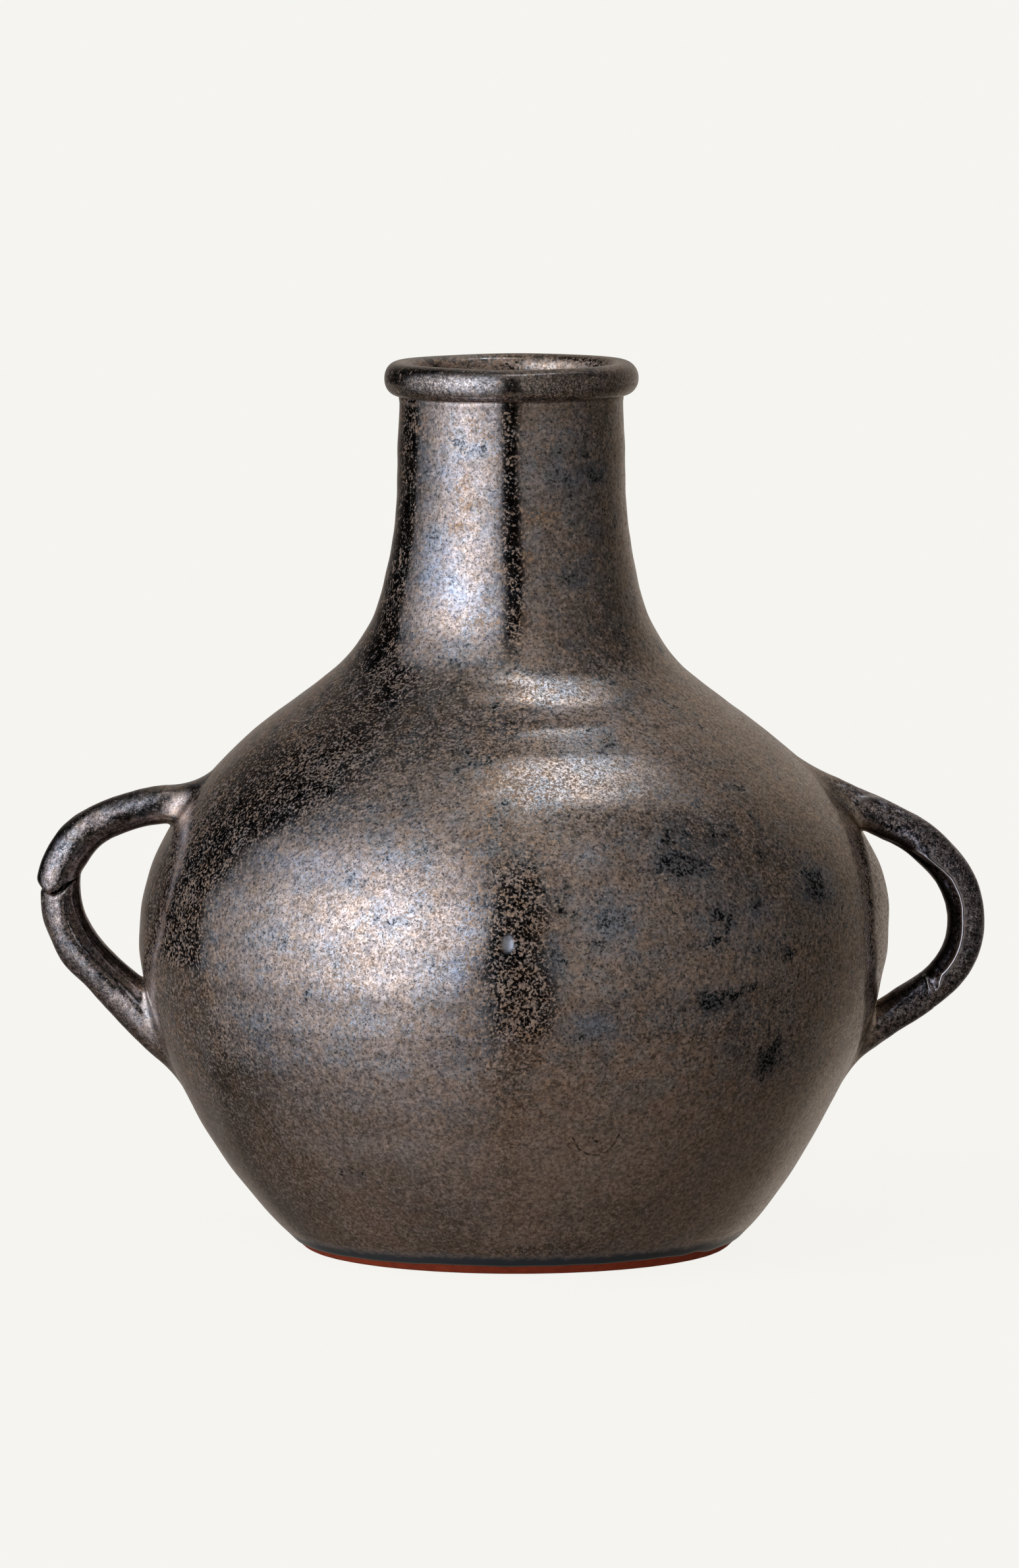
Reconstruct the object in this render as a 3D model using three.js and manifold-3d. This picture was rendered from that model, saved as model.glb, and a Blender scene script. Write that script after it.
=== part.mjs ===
// A two-handled earthenware jug with a round belly, a narrow neck and a rolled lip.
// The body is built from thrown sections that lap into each other, and each lug handle from two clay coils.
// Millimetres, +Z up. The origin is the middle of the foot, on the surface the jug stands on.
// The handles lie in the XZ plane.
import * as THREE from "three";
import { mergeVertices } from "three/addons/utils/BufferGeometryUtils.js";
import Module from "manifold-3d";

// ---- driving dimensions -------------------------------------------------
const HEIGHT = 250; // foot to top of the lip
const SEGMENTS = 48; // facets round the axis
const GAP = 0.3; // slip layer between two luted faces

// Outer wall of the body: height above the foot, radius.
const WALL = [
  [0, 59.2],
  [1.2, 61.0],
  [3, 63.0],
  [7, 67.2],
  [16, 74.6],
  [26, 81.8],
  [36, 87.7],
  [46, 93.0],
  [56, 97.7],
  [66, 101.5],
  [72, 103.1],
  [79, 104.7],
  [88, 105.7],
  [97, 105.2],
  [106, 103.2],
  [114, 99.8],
  [122, 95.0],
  [130, 88.8],
  [138, 80.9],
  [146, 71.9],
  [153, 62.6],
  [160, 53.3],
  [166, 46.6],
  [172, 42.1],
  [180, 38.3],
  [190, 35.3],
  [203, 32.9],
  [216, 32.1],
  [230, 31.8],
  [240.6, 31.6],
];

const FLOOR_EDGE_Z = 7; // where the wall of the bowl meets the slab
const FLOOR_TOP_Z = 10; // inside floor, the top of the slab's raised middle
const FLOOR_PAD_R = 59.6; // raised middle that centres the bowl
const BELLY_JOINT_Z = 72; // bowl to dome
const NECK_JOINT_Z = 160; // dome to neck
const LIP_JOINT_Z = 240.6; // neck to lip coil
const LAP = 3; // height of the lap at each joint
const BOWL_WALL = 6.6;
const DOME_WALL = 6.2;
const NECK_WALL = 5.0;
const BELLY_LAP_R = 99.8; // outer face of the bowl's tongue
const NECK_LAP_R = 46.4; // outer face of the dome's tongue
const LIP_TONGUE = [28.6, 30.2]; // inner and outer face of the neck's tongue

const LIP_R = 31.4; // middle of the lip coil
const LIP_HALF_W = 4.3;
const LIP_Z = 245.3;
const LIP_HALF_H = HEIGHT - LIP_Z;
const MOUTH_R = 27.1;

// Handle coils: middle line in the XZ plane, half thickness in that plane, half depth along Y.
const LEFT_UPPER = {
  line: [
    [-85, 124.6],
    [-92.9, 124.9],
    [-98.6, 124.8],
    [-103.9, 123.8],
    [-108.5, 122.5],
    [-112.7, 121.1],
    [-116.4, 119.2],
    [-119.7, 116.9],
    [-122.4, 114.1],
    [-124.6, 110.9],
    [-126.2, 107.7],
    [-127.1, 104.2],
    [-127.6, 100],
    [-127.2, 95],
  ],
  halfThick: 5.8,
  halfDepth: 6.8,
};
const LEFT_LOWER = {
  line: [
    [-126.8, 108],
    [-127.0, 104],
    [-126.9, 100],
    [-126.4, 96],
    [-125.3, 91.6],
    [-123.8, 88.6],
    [-122.2, 85.9],
    [-120.3, 83.3],
    [-118.1, 80.7],
    [-115.6, 78.2],
    [-112.4, 75.3],
    [-108.3, 71.9],
    [-103.2, 67.6],
    [-97, 62.6],
    [-91, 57.8],
  ],
  halfThick: 6.2,
  halfDepth: 7.0,
};
const RIGHT_UPPER = {
  line: [
    [89, 127.6],
    [95.5, 124.9],
    [103, 121.6],
    [108.7, 118.9],
    [113.2, 116.4],
    [116.8, 113.7],
    [119.7, 111.1],
    [122.0, 108.6],
    [125.5, 103.6],
    [127.5, 98.6],
    [128.3, 92.6],
    [128.0, 88.0],
    [126.3, 82.4],
    [122.7, 77.0],
    [117.1, 72.1],
    [111, 68.1],
  ],
  halfThick: 5.5,
  halfDepth: 6.4,
};
const RIGHT_LOWER = {
  line: [
    [124.8, 79.6],
    [120.8, 75.2],
    [117.1, 72.1],
    [113.4, 69.5],
    [108.7, 66.6],
    [102.9, 63.6],
    [96, 60.0],
    [89, 56.4],
  ],
  halfThick: 5.5,
  halfDepth: 6.4,
};
const COIL_SIDES = 14;

// The lap between the two coils of a handle: a point on the joint, and the direction across it.
const LEFT_LAP = { at: [-127.1, 101.6], across: [0.55, 0.835] };
const RIGHT_LAP = { at: [117.6, 72.6], across: [0.93, 0.37] };

// Smeared clay where a coil meets the body: start deep in the wall, end on the coil, radius at the start, stretch there in the XZ plane.
const FLARES = {
  left_handle_upper_coil: { from: [-77, 128.4], to: [-106, 123.2], r: 9.6, stretch: 0.95 },
  left_handle_lower_coil: { from: [-83, 48.8], to: [-112, 75.0], r: 10.2, stretch: 1.15 },
  right_handle_upper_coil: { from: [70, 136.6], to: [108, 119.2], r: 9.6, stretch: 0.95 },
  right_handle_lower_coil: { from: [82, 45.6], to: [112, 68.6], r: 9.8, stretch: 1.15 },
};

// ---- finishes -----------------------------------------------------------
const GLAZE = { color: 0x4c433b, roughness: 0.34, metalness: 0.35 };
const RED_CLAY = { color: 0x7b3524, roughness: 0.92, metalness: 0 };

const wasm = await Module();
wasm.setup();

// ---- wall profile -------------------------------------------------------
function wallRadius(z) {
  let i = 0;
  while (i < WALL.length - 2 && WALL[i + 1][0] < z) i++;
  const [z0, r0] = WALL[i];
  const [z1, r1] = WALL[i + 1];
  return r0 + ((r1 - r0) * (z - z0)) / (z1 - z0);
}

function wallSlope(z) {
  const a = Math.max(WALL[0][0], z - 4);
  const b = Math.min(WALL.at(-1)[0], z + 4);
  return (wallRadius(b) - wallRadius(a)) / (b - a);
}

// Radius of the inner face of a wall of a given thickness, measured square to the wall.
function innerRadius(z, thickness) {
  return wallRadius(z) - thickness * Math.hypot(1, wallSlope(z));
}

// Outer points from one height up to another, then the inner points back down.
function outerPoints(z0, z1) {
  const between = WALL.filter(([z]) => z > z0 + 0.5 && z < z1 - 0.5);
  return [[z0, wallRadius(z0)], ...between, [z1, wallRadius(z1)]].map(
    ([z, r]) => [r, z],
  );
}

function innerPoints(z0, z1, thickness, steps) {
  const points = [];
  for (let i = 0; i <= steps; i++) {
    const z = z1 + ((z0 - z1) * i) / steps;
    points.push([innerRadius(z, thickness), z]);
  }
  return points;
}

// ---- solids -------------------------------------------------------------
// A turned piece from a profile of [radius, height] points.
function turned(profile) {
  const points = profile.map(([r, z]) => new THREE.Vector2(Math.max(r, 0), z));
  return new THREE.LatheGeometry(points, SEGMENTS).rotateX(Math.PI / 2);
}

function toSolid(geometry) {
  const g = geometry.clone();
  g.deleteAttribute("normal");
  g.deleteAttribute("uv");
  const merged = mergeVertices(g, 1e-4);
  return new wasm.Manifold(
    new wasm.Mesh({
      numProp: 3,
      vertProperties: new Float32Array(merged.attributes.position.array),
      triVerts: new Uint32Array(merged.index.array),
    }),
  );
}

function toGeometry(solid) {
  const m = solid.getMesh();
  const positions = new Float32Array(m.numVert * 3);
  for (let i = 0; i < m.numVert; i++)
    positions.set(
      m.vertProperties.subarray(i * m.numProp, i * m.numProp + 3),
      i * 3,
    );
  const g = new THREE.BufferGeometry();
  g.setAttribute("position", new THREE.BufferAttribute(positions, 3));
  g.setIndex(new THREE.BufferAttribute(new Uint32Array(m.triVerts), 1));
  g.computeVertexNormals();
  return g;
}

// A coil of oval section along its middle line.
function coil({ line, halfThick, halfDepth }) {
  const path = new THREE.CatmullRomCurve3(
    line.map(([x, z]) => new THREE.Vector3(x, 0, z)),
    false,
    "centripetal",
  );
  const section = new THREE.Shape();
  for (let i = 0; i < COIL_SIDES; i++) {
    const a = ((i + 0.5) / COIL_SIDES) * 2 * Math.PI;
    const x = halfDepth * Math.cos(a);
    const y = halfThick * Math.sin(a);
    if (i === 0) section.moveTo(x, y);
    else section.lineTo(x, y);
  }
  section.closePath();
  return new THREE.ExtrudeGeometry(section, {
    steps: Math.round(path.getLength() / 4),
    extrudePath: path,
    bevelEnabled: false,
  });
}

// The trumpet-shaped root that spreads a coil onto the wall.
function flare({ from, to, r, stretch }, { halfThick, halfDepth }) {
  const a = new THREE.Vector3(from[0], 0, from[1]);
  const b = new THREE.Vector3(to[0], 0, to[1]);
  const length = a.distanceTo(b);
  const steps = 7;
  const profile = [];
  for (let i = 0; i <= steps; i++)
    profile.push(new THREE.Vector2(1, (i / steps) * length));
  const g = new THREE.LatheGeometry(
    [new THREE.Vector2(0, 0), ...profile, new THREE.Vector2(0, length)],
    18,
  );
  // Each ring widens from the coil's own section at the outer end to the root at the inner end.
  const p = g.attributes.position;
  for (let i = 0; i < p.count; i++) {
    const spread = Math.max(0, 1 - p.getY(i) / length) ** 1.7;
    p.setX(i, p.getX(i) * THREE.MathUtils.lerp(halfThick * 0.97, r * stretch, spread));
    p.setZ(i, p.getZ(i) * THREE.MathUtils.lerp(halfDepth * 0.97, r, spread));
  }
  const up = b.clone().sub(a).normalize();
  const depth = new THREE.Vector3(0, 1, 0);
  const side = new THREE.Vector3().crossVectors(up, depth);
  g.applyMatrix4(new THREE.Matrix4().makeBasis(side, up, depth.negate()));
  g.translate(a.x, a.y, a.z);
  return toSolid(g).volume() < 0 ? flip(g) : g;
}

function flip(geometry) {
  const index = geometry.index.array;
  for (let i = 0; i < index.length; i += 3)
    [index[i + 1], index[i + 2]] = [index[i + 2], index[i + 1]];
  return geometry;
}

// A block that takes off what a coil has beyond its lap, and half the gap there.
function beyond({ at, across }, side) {
  const n = new THREE.Vector2(...across).normalize();
  const size = 36;
  const g = new THREE.BoxGeometry(size, 40, size);
  g.translate(size / 2 - GAP / 2, 0, 0);
  g.rotateY(-Math.atan2(-side * n.y, -side * n.x));
  return g.translate(at[0], 0, at[1]);
}

// ---- body ---------------------------------------------------------------
const baseDisc = turned([
  [0, 0],
  [WALL[0][1], 0],
  [WALL[1][1], WALL[1][0]],
  [WALL[2][1], WALL[2][0]],
  [wallRadius(FLOOR_EDGE_Z), FLOOR_EDGE_Z],
  [FLOOR_PAD_R, FLOOR_EDGE_Z],
  [FLOOR_PAD_R - 1.2, FLOOR_TOP_Z],
  [0, FLOOR_TOP_Z],
]);

const bowlInside = innerPoints(20, BELLY_JOINT_Z, BOWL_WALL, 6);
const lowerBowl = turned([
  ...outerPoints(FLOOR_EDGE_Z, BELLY_JOINT_Z),
  [BELLY_LAP_R, BELLY_JOINT_Z],
  [BELLY_LAP_R, BELLY_JOINT_Z + LAP],
  [innerRadius(BELLY_JOINT_Z + LAP, BOWL_WALL), BELLY_JOINT_Z + LAP],
  ...bowlInside,
  [62.4, 12.5],
  [FLOOR_PAD_R + GAP, FLOOR_TOP_Z],
  [FLOOR_PAD_R + GAP, FLOOR_EDGE_Z],
  [wallRadius(FLOOR_EDGE_Z), FLOOR_EDGE_Z],
]);

const domeInside = innerPoints(
  BELLY_JOINT_Z + LAP + GAP,
  NECK_JOINT_Z,
  DOME_WALL,
  9,
);
const upperDome = turned([
  ...outerPoints(BELLY_JOINT_Z, NECK_JOINT_Z),
  [NECK_LAP_R, NECK_JOINT_Z],
  [NECK_LAP_R - 0.8, NECK_JOINT_Z + LAP],
  [innerRadius(NECK_JOINT_Z + LAP, DOME_WALL), NECK_JOINT_Z + LAP],
  ...domeInside,
  [BELLY_LAP_R + GAP, BELLY_JOINT_Z + LAP + GAP],
  [BELLY_LAP_R + GAP, BELLY_JOINT_Z],
  [wallRadius(BELLY_JOINT_Z), BELLY_JOINT_Z],
]);

const neckInside = innerPoints(
  NECK_JOINT_Z + LAP + GAP,
  LIP_JOINT_Z,
  NECK_WALL,
  8,
);
neckInside[0][0] = MOUTH_R - 0.1;
const neck = turned([
  ...outerPoints(NECK_JOINT_Z, LIP_JOINT_Z),
  [LIP_TONGUE[1], LIP_JOINT_Z],
  [LIP_TONGUE[1], LIP_JOINT_Z + LAP - 0.5],
  [LIP_TONGUE[0], LIP_JOINT_Z + LAP - 0.5],
  [LIP_TONGUE[0], LIP_JOINT_Z],
  ...neckInside,
  [NECK_LAP_R - 0.8 + GAP, NECK_JOINT_Z + LAP + GAP],
  [NECK_LAP_R + GAP, NECK_JOINT_Z],
  [wallRadius(NECK_JOINT_Z), NECK_JOINT_Z],
]);

// The lip coil: an oval ring, flat below where it sits on the neck.
const lipProfile = [];
for (let i = 0; i <= 11; i++) {
  const a = THREE.MathUtils.degToRad(-78 + (i / 11) * 258);
  lipProfile.push([
    LIP_R + LIP_HALF_W * Math.cos(a),
    LIP_Z + LIP_HALF_H * Math.sin(a),
  ]);
}
const lipStart = [wallRadius(LIP_JOINT_Z), LIP_JOINT_Z];
const rimBead = turned([
  lipStart,
  ...lipProfile,
  [MOUTH_R - 0.1, LIP_JOINT_Z],
  [LIP_TONGUE[0] - GAP, LIP_JOINT_Z],
  [LIP_TONGUE[0] - GAP, LIP_JOINT_Z + LAP - 0.5 + GAP],
  [LIP_TONGUE[1] + GAP, LIP_JOINT_Z + LAP - 0.5 + GAP],
  [LIP_TONGUE[1] + GAP, LIP_JOINT_Z],
  lipStart,
]);

// The body's outside, grown by the gap, that trims the roots of the handles.
const trimBody = toSolid(
  turned([
    [0, 0],
    ...WALL.map(([z, r]) => [r + GAP * Math.hypot(1, wallSlope(z)), z]),
    [0, WALL.at(-1)[0]],
  ]),
);

// ---- handles ------------------------------------------------------------
function handleCoil(name, spec, lap, side) {
  return toGeometry(
    toSolid(coil(spec))
      .subtract(toSolid(beyond(lap, side)))
      .add(toSolid(flare(FLARES[name], spec)))
      .subtract(trimBody),
  );
}

const pieces = [
  ["base_disc", baseDisc, RED_CLAY],
  ["lower_bowl", lowerBowl, GLAZE],
  ["upper_dome", upperDome, GLAZE],
  ["neck", neck, GLAZE],
  ["rim_bead", rimBead, GLAZE],
  [
    "left_handle_upper_coil",
    handleCoil("left_handle_upper_coil", LEFT_UPPER, LEFT_LAP, 1),
    GLAZE,
  ],
  [
    "left_handle_lower_coil",
    handleCoil("left_handle_lower_coil", LEFT_LOWER, LEFT_LAP, -1),
    GLAZE,
  ],
  [
    "right_handle_upper_coil",
    handleCoil("right_handle_upper_coil", RIGHT_UPPER, RIGHT_LAP, 1),
    GLAZE,
  ],
  [
    "right_handle_lower_coil",
    handleCoil("right_handle_lower_coil", RIGHT_LOWER, RIGHT_LAP, -1),
    GLAZE,
  ],
];

const jug = new THREE.Group();
jug.name = "rustic_jug";
for (const [name, geometry, finish] of pieces) {
  const mesh = new THREE.Mesh(
    geometry,
    new THREE.MeshStandardMaterial({ ...finish }),
  );
  mesh.name = name;
  jug.add(mesh);
}

export default jug;
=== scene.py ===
import math

import bpy
import numpy as np
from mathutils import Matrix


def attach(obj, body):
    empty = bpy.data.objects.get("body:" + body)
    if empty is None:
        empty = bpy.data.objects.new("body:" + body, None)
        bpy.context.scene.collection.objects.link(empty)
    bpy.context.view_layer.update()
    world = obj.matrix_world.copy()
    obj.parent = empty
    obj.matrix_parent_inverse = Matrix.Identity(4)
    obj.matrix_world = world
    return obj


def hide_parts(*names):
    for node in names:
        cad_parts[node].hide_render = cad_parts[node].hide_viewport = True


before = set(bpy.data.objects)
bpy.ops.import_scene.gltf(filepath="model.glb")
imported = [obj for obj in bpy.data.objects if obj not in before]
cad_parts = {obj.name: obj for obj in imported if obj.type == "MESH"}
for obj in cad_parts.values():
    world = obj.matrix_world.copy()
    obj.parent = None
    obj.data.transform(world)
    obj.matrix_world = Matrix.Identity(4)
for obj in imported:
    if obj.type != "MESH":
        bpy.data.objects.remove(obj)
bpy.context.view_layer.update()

MM = 0.001  # the shapes below are worked out in millimetres
rng = np.random.default_rng(4107)

# ---------------------------------------------------------------- wall of the body

# Height above the foot and outer radius of the thrown wall.
PROFILE = np.array([
    (0.0, 59.75), (3.0, 63.17), (8.0, 68.19), (16.0, 74.61), (26.0, 81.79), (36.0, 87.66), (46.0, 92.96),
    (56.0, 97.90), (66.0, 101.51), (76.0, 103.96), (86.0, 105.60), (96.0, 105.35), (106.0, 103.31), (114.0, 99.83),
    (122.0, 95.06), (130.0, 88.77), (138.0, 80.91), (146.0, 71.97), (154.0, 61.19), (160.0, 53.27), (166.0, 46.50),
    (172.0, 42.14), (178.0, 38.82), (184.0, 36.85), (190.0, 35.33), (196.0, 33.99), (204.0, 32.83), (212.0, 32.19),
    (220.0, 32.05), (228.0, 31.93), (234.0, 31.58), (240.6, 31.45),
])
# How far the hand-thrown wall wanders off the axis along X, by height.
DRIFT = np.array([
    (0, 1.6), (6, 1.6), (17, 0.95), (22.6, 0.65), (28.2, 0.42), (34, 0.15), (45, 0.1), (60, 0.25), (78.5, 0.56),
    (84, 0.72), (89.6, 0.86), (95.2, 1.1), (101, 1.4), (112, 1.5), (124, 1.15), (134, 0.7), (140, 0.05), (148, -0.6),
    (157, -0.47), (162, -0.28), (173, 0.15), (200, 0.25), (250, 0.1),
])
FLOOR_EDGE, BELLY_JOINT, NECK_JOINT, LIP_JOINT = 7.0, 72.0, 160.0, 240.6


def hermite(x, y, q):
    """Monotone cubic through the points, straight past the ends."""
    h = np.diff(x)
    d = np.diff(y) / h
    m = np.zeros_like(y)
    for i in range(1, len(x) - 1):
        if d[i - 1] * d[i] > 0:
            w1, w2 = 2 * h[i] + h[i - 1], h[i] + 2 * h[i - 1]
            m[i] = (w1 + w2) / (w1 / d[i - 1] + w2 / d[i])
    m[0], m[-1] = d[0], d[-1]
    i = np.clip(np.searchsorted(x, q) - 1, 0, len(x) - 2)
    t = (q - x[i]) / h[i]
    tc = np.clip(t, 0, 1)
    v = (
        (2 * tc**3 - 3 * tc**2 + 1) * y[i]
        + (tc**3 - 2 * tc**2 + tc) * h[i] * m[i]
        + (-2 * tc**3 + 3 * tc**2) * y[i + 1]
        + (tc**3 - tc**2) * h[i] * m[i + 1]
    )
    return v + np.where(t < 0, t * h[i] * m[0], 0) + np.where(t > 1, (t - 1) * h[i] * m[-1], 0)


def soften(values, step, sigma):
    reach = int(4 * sigma / step)
    k = np.exp(-0.5 * (np.arange(-reach, reach + 1) * step / sigma) ** 2)
    k /= k.sum()
    left = 2 * values[0] - values[reach:0:-1]
    right = 2 * values[-1] - values[-2 : -reach - 2 : -1]
    return np.convolve(np.concatenate([left, values, right]), k, mode="valid")


STEP = 0.05
ZT = np.arange(-2.0, 246.0, STEP)
RT = soften(hermite(PROFILE[:, 0], PROFILE[:, 1], ZT), STEP, 1.9)
DT = soften(np.interp(ZT, DRIFT[:, 0], DRIFT[:, 1]), STEP, 4.0)
ST = np.gradient(RT, STEP)

# Gentle unevenness of the wall, as a sum of long waves through space.
WAVES = []
for n in range(34):
    length = 11.0 + 34.0 * (n / 33.0) ** 1.3
    v = rng.normal(size=3)
    v[2] *= 1.25
    v /= np.linalg.norm(v)
    WAVES.append((v * 2 * math.pi / length, rng.uniform(0, 2 * math.pi), 0.00095 * length**0.9))


def uneven(x, y, z):
    out = 0.0
    for k, p, a in WAVES:
        out = out + a * np.cos(k[0] * x + k[1] * y + k[2] * z + p)
    return out


def window(z, low, high, soft):
    return 0.5 * (np.tanh((z - low) / soft) - np.tanh((z - high) / soft))


DIMPLE_Z, DIMPLE_X = 98.0, -2.0


def dimple_at(z, th):
    """How far out from the middle of the dimple, 1 being about its edge."""
    return np.hypot(((th + math.pi / 2) * 104.6 - DIMPLE_X) / 1.6, (z - DIMPLE_Z) / 2.7)


def wall_radius(z, th):
    """Outer radius at a height and an angle, with the marks of throwing."""
    r = np.interp(z, ZT, RT)
    x, y = r * np.cos(th), r * np.sin(th)
    fade = np.clip((z - 0.5) / 6.0, 0, 1)
    r = r + uneven(x, y, z) * fade
    # throwing rings: close on the shoulder, wide and faint elsewhere
    lean = 0.55 * np.sin(th + 0.6)
    r = r + 0.042 * window(z, 144.5, 166.0, 3.0) * np.cos(2 * math.pi * (z + lean) / 5.4 + 0.9)
    r = r + 0.035 * window(z, 170.0, 236.0, 5.0) * np.cos(2 * math.pi * (z - lean) / 8.7 + 0.3)
    r = r + 0.04 * window(z, 12.0, 138.0, 8.0) * np.cos(2 * math.pi * (z + 2 * lean) / 12.5 + 1.7)
    # the foot of the neck is fuller at the front
    front = np.angle(np.exp(1j * (th + math.pi / 2 - 0.2)))
    r = r + 0.45 * np.exp(-(((z - 162.5) / 4.5) ** 2)) * np.exp(-((front / 0.7) ** 2))
    # one stronger throwing line half way down to the shoulder
    r = r + 0.42 * np.exp(-(((z - 153.2 - 0.6 * front) / 1.75) ** 2)) * np.exp(-((front / 0.9) ** 2))
    # a soft raised line tight under the rolled lip
    r = r + 0.16 * np.exp(-(((z - 239.9 - 0.2 * np.sin(th + 0.8)) / 0.8) ** 2))
    # the luted seam round the belly
    seam = 71.6 + 1.1 * np.sin(th - 0.4) + 0.5 * np.sin(3 * th + 1.0)
    side = 0.4 + 0.6 * np.cos(th) ** 2
    r = r + 0.21 * side * np.exp(-(np.sqrt((z - seam) ** 2 + 0.35) - 0.59) / 4.6) - 0.03 * side * np.exp(-(((z - seam - 0.9) / 0.9) ** 2))
    # one dimple in the glaze at the front
    return r - 0.20 * np.exp(-(dimple_at(z, th) ** 2.6))


def wall_point(z, th):
    r = wall_radius(z, th)
    return np.stack([np.interp(z, ZT, DT) + r * np.cos(th), r * np.sin(th), z + 0 * th], -1)


def wall_normal(z, th):
    e = 0.12
    a = 0.12 / 60.0
    du = wall_point(z, th + a) - wall_point(z, th - a)
    dv = wall_point(z + e, th) - wall_point(z - e, th)
    n = np.cross(du, dv)
    return n / np.linalg.norm(n, axis=-1, keepdims=True)


def inner_radius(z, thick):
    return np.interp(z, ZT, RT) - thick * np.hypot(1.0, np.interp(z, ZT, ST))


# ---------------------------------------------------------------- mesh building


def make_object(name, verts, faces, loop_normals=None):
    mesh = bpy.data.meshes.new(name)
    mesh.from_pydata((np.asarray(verts, float) * MM).tolist(), [], faces)
    mesh.polygons.foreach_set("use_smooth", np.ones(len(mesh.polygons), bool))
    mesh.update()
    if loop_normals is not None:
        mesh.normals_split_custom_set(np.asarray(loop_normals, float).tolist())
    obj = bpy.data.objects.new(name, mesh)
    bpy.context.scene.collection.objects.link(obj)
    return obj


def revolved(name, thetas, bands, close):
    """A closed turned piece. Each band is (points, normals), both rows by angles by 3, and a band starts on the row where the last one ended.
    close is "ring" where the last band ends on the first row, or "axis" where the first and last rows shrink to a point."""
    n = len(thetas)
    verts, faces, normals = [], [], []
    row_ids = []

    def add_row(points):
        start = len(verts)
        verts.extend(points.tolist())
        return np.arange(start, start + n)

    def add_point(point):
        verts.append(list(point))
        return np.full(n, len(verts) - 1)

    first = None
    last = None
    for b, (points, norms) in enumerate(bands):
        ids = []
        for j in range(len(points)):
            if j == 0 and last is not None:
                ids.append(last)
            elif close == "ring" and b == len(bands) - 1 and j == len(points) - 1:
                ids.append(first)
            elif close == "axis" and ((b == 0 and j == 0) or (b == len(bands) - 1 and j == len(points) - 1)):
                ids.append(add_point(points[j].mean(0)))
            else:
                ids.append(add_row(points[j]))
            if first is None:
                first = ids[0]
        last = ids[-1]
        for j in range(len(points) - 1):
            a, c = ids[j], ids[j + 1]
            na, nc = norms[j], norms[j + 1]
            for i in range(n):
                k = (i + 1) % n
                if a[i] == a[k]:
                    faces.append((int(a[i]), int(c[k]), int(c[i])))
                    normals.extend((na[i], nc[k], nc[i]))
                elif c[i] == c[k]:
                    faces.append((int(a[i]), int(a[k]), int(c[i])))
                    normals.extend((na[i], na[k], nc[i]))
                else:
                    faces.append((int(a[i]), int(a[k]), int(c[k]), int(c[i])))
                    normals.extend((na[i], na[k], nc[k], nc[i]))
        row_ids.append(ids)
    return make_object(name, verts, faces, normals), row_ids


def flat_rows(radii, z, thetas, up, dx=None):
    """Rows of a level ring or disc, with straight up or down normals."""
    cx = np.interp(z, ZT, DT) if dx is None else dx
    pts = np.stack([
        np.stack([cx + r * np.cos(thetas), r * np.sin(thetas), np.full(len(thetas), float(z))], -1) for r in radii
    ])
    nor = np.zeros_like(pts)
    nor[..., 2] = 1.0 if up else -1.0
    return pts, nor


def inner_rows(zs, thetas, thick):
    r = inner_radius(zs, thick)
    cx = np.interp(zs, ZT, DT)
    c, s = np.cos(thetas), np.sin(thetas)
    wob = 0.12 * np.cos(2 * math.pi * zs / 9.0)[:, None] * np.ones(len(thetas))
    rr = r[:, None] + wob
    pts = np.stack([cx[:, None] + rr * c, rr * s, np.repeat(zs[:, None], len(thetas), 1)], -1)
    dz = np.gradient(pts, axis=0)
    dt = np.roll(pts, -1, 1) - np.roll(pts, 1, 1)
    n = np.cross(dz, dt)
    return pts, n / np.linalg.norm(n, axis=-1, keepdims=True)


def angle_set(count, extra=()):
    """Angles round the axis, closer together where a small mark needs it."""
    th = np.linspace(-math.pi, math.pi, count, endpoint=False)
    for mid, half, num in extra:
        th = th[np.abs(th - mid) > half]
        th = np.concatenate([th, np.linspace(mid - half, mid + half, num)])
    return np.sort(th)


FRONT = -math.pi / 2
TH = angle_set(528, [(FRONT + DIMPLE_X / 104.6, 0.045, 27)])


def outer_band(zs):
    Z, T = np.meshgrid(zs, TH, indexing="ij")
    return wall_point(Z, T), wall_normal(Z, T)


def heights(low, high, step, fine=()):
    zs = np.linspace(low, high, int(round((high - low) / step)) + 1)
    for a, b, s in fine:
        zs = zs[(zs < a - 0.3 * s) | (zs > b + 0.3 * s)]
        zs = np.concatenate([zs, np.linspace(a, b, int(round((b - a) / s)) + 1)])
    return np.sort(zs)


def ring_between(a, b, normal_z):
    """A level ring between two existing rows of points."""
    pts = np.stack([a, b])
    nor = np.zeros_like(pts)
    nor[..., 2] = normal_z
    return pts, nor


BOWL_WALL, DOME_WALL, NECK_WALL = 6.6, 6.2, 5.0
PIECES = {}

# lower bowl
op, on = outer_band(heights(FLOOR_EDGE, BELLY_JOINT, 1.1, [(64.0, BELLY_JOINT, 0.4)]))
ip, inn = inner_rows(heights(12.0, BELLY_JOINT, 3.0)[::-1], TH, BOWL_WALL)
fp, fn = flat_rows([60.4, 60.0], 10.0, TH, True)
foot = np.stack([ip[-1], flat_rows([60.0], 10.0, TH, True)[0][0], flat_rows([60.0], FLOOR_EDGE, TH, True)[0][0]])
foot_n = np.repeat(np.stack([-np.cos(TH), -np.sin(TH), 0 * TH], -1)[None], 3, 0)
PIECES["lower_bowl"], _ = revolved("lower_bowl_wall", TH, [
    (op, on),
    ring_between(op[-1], ip[0], 1.0),
    (ip, inn),
    (foot, foot_n),
    ring_between(foot[-1], op[0], -1.0),
], "ring")

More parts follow.
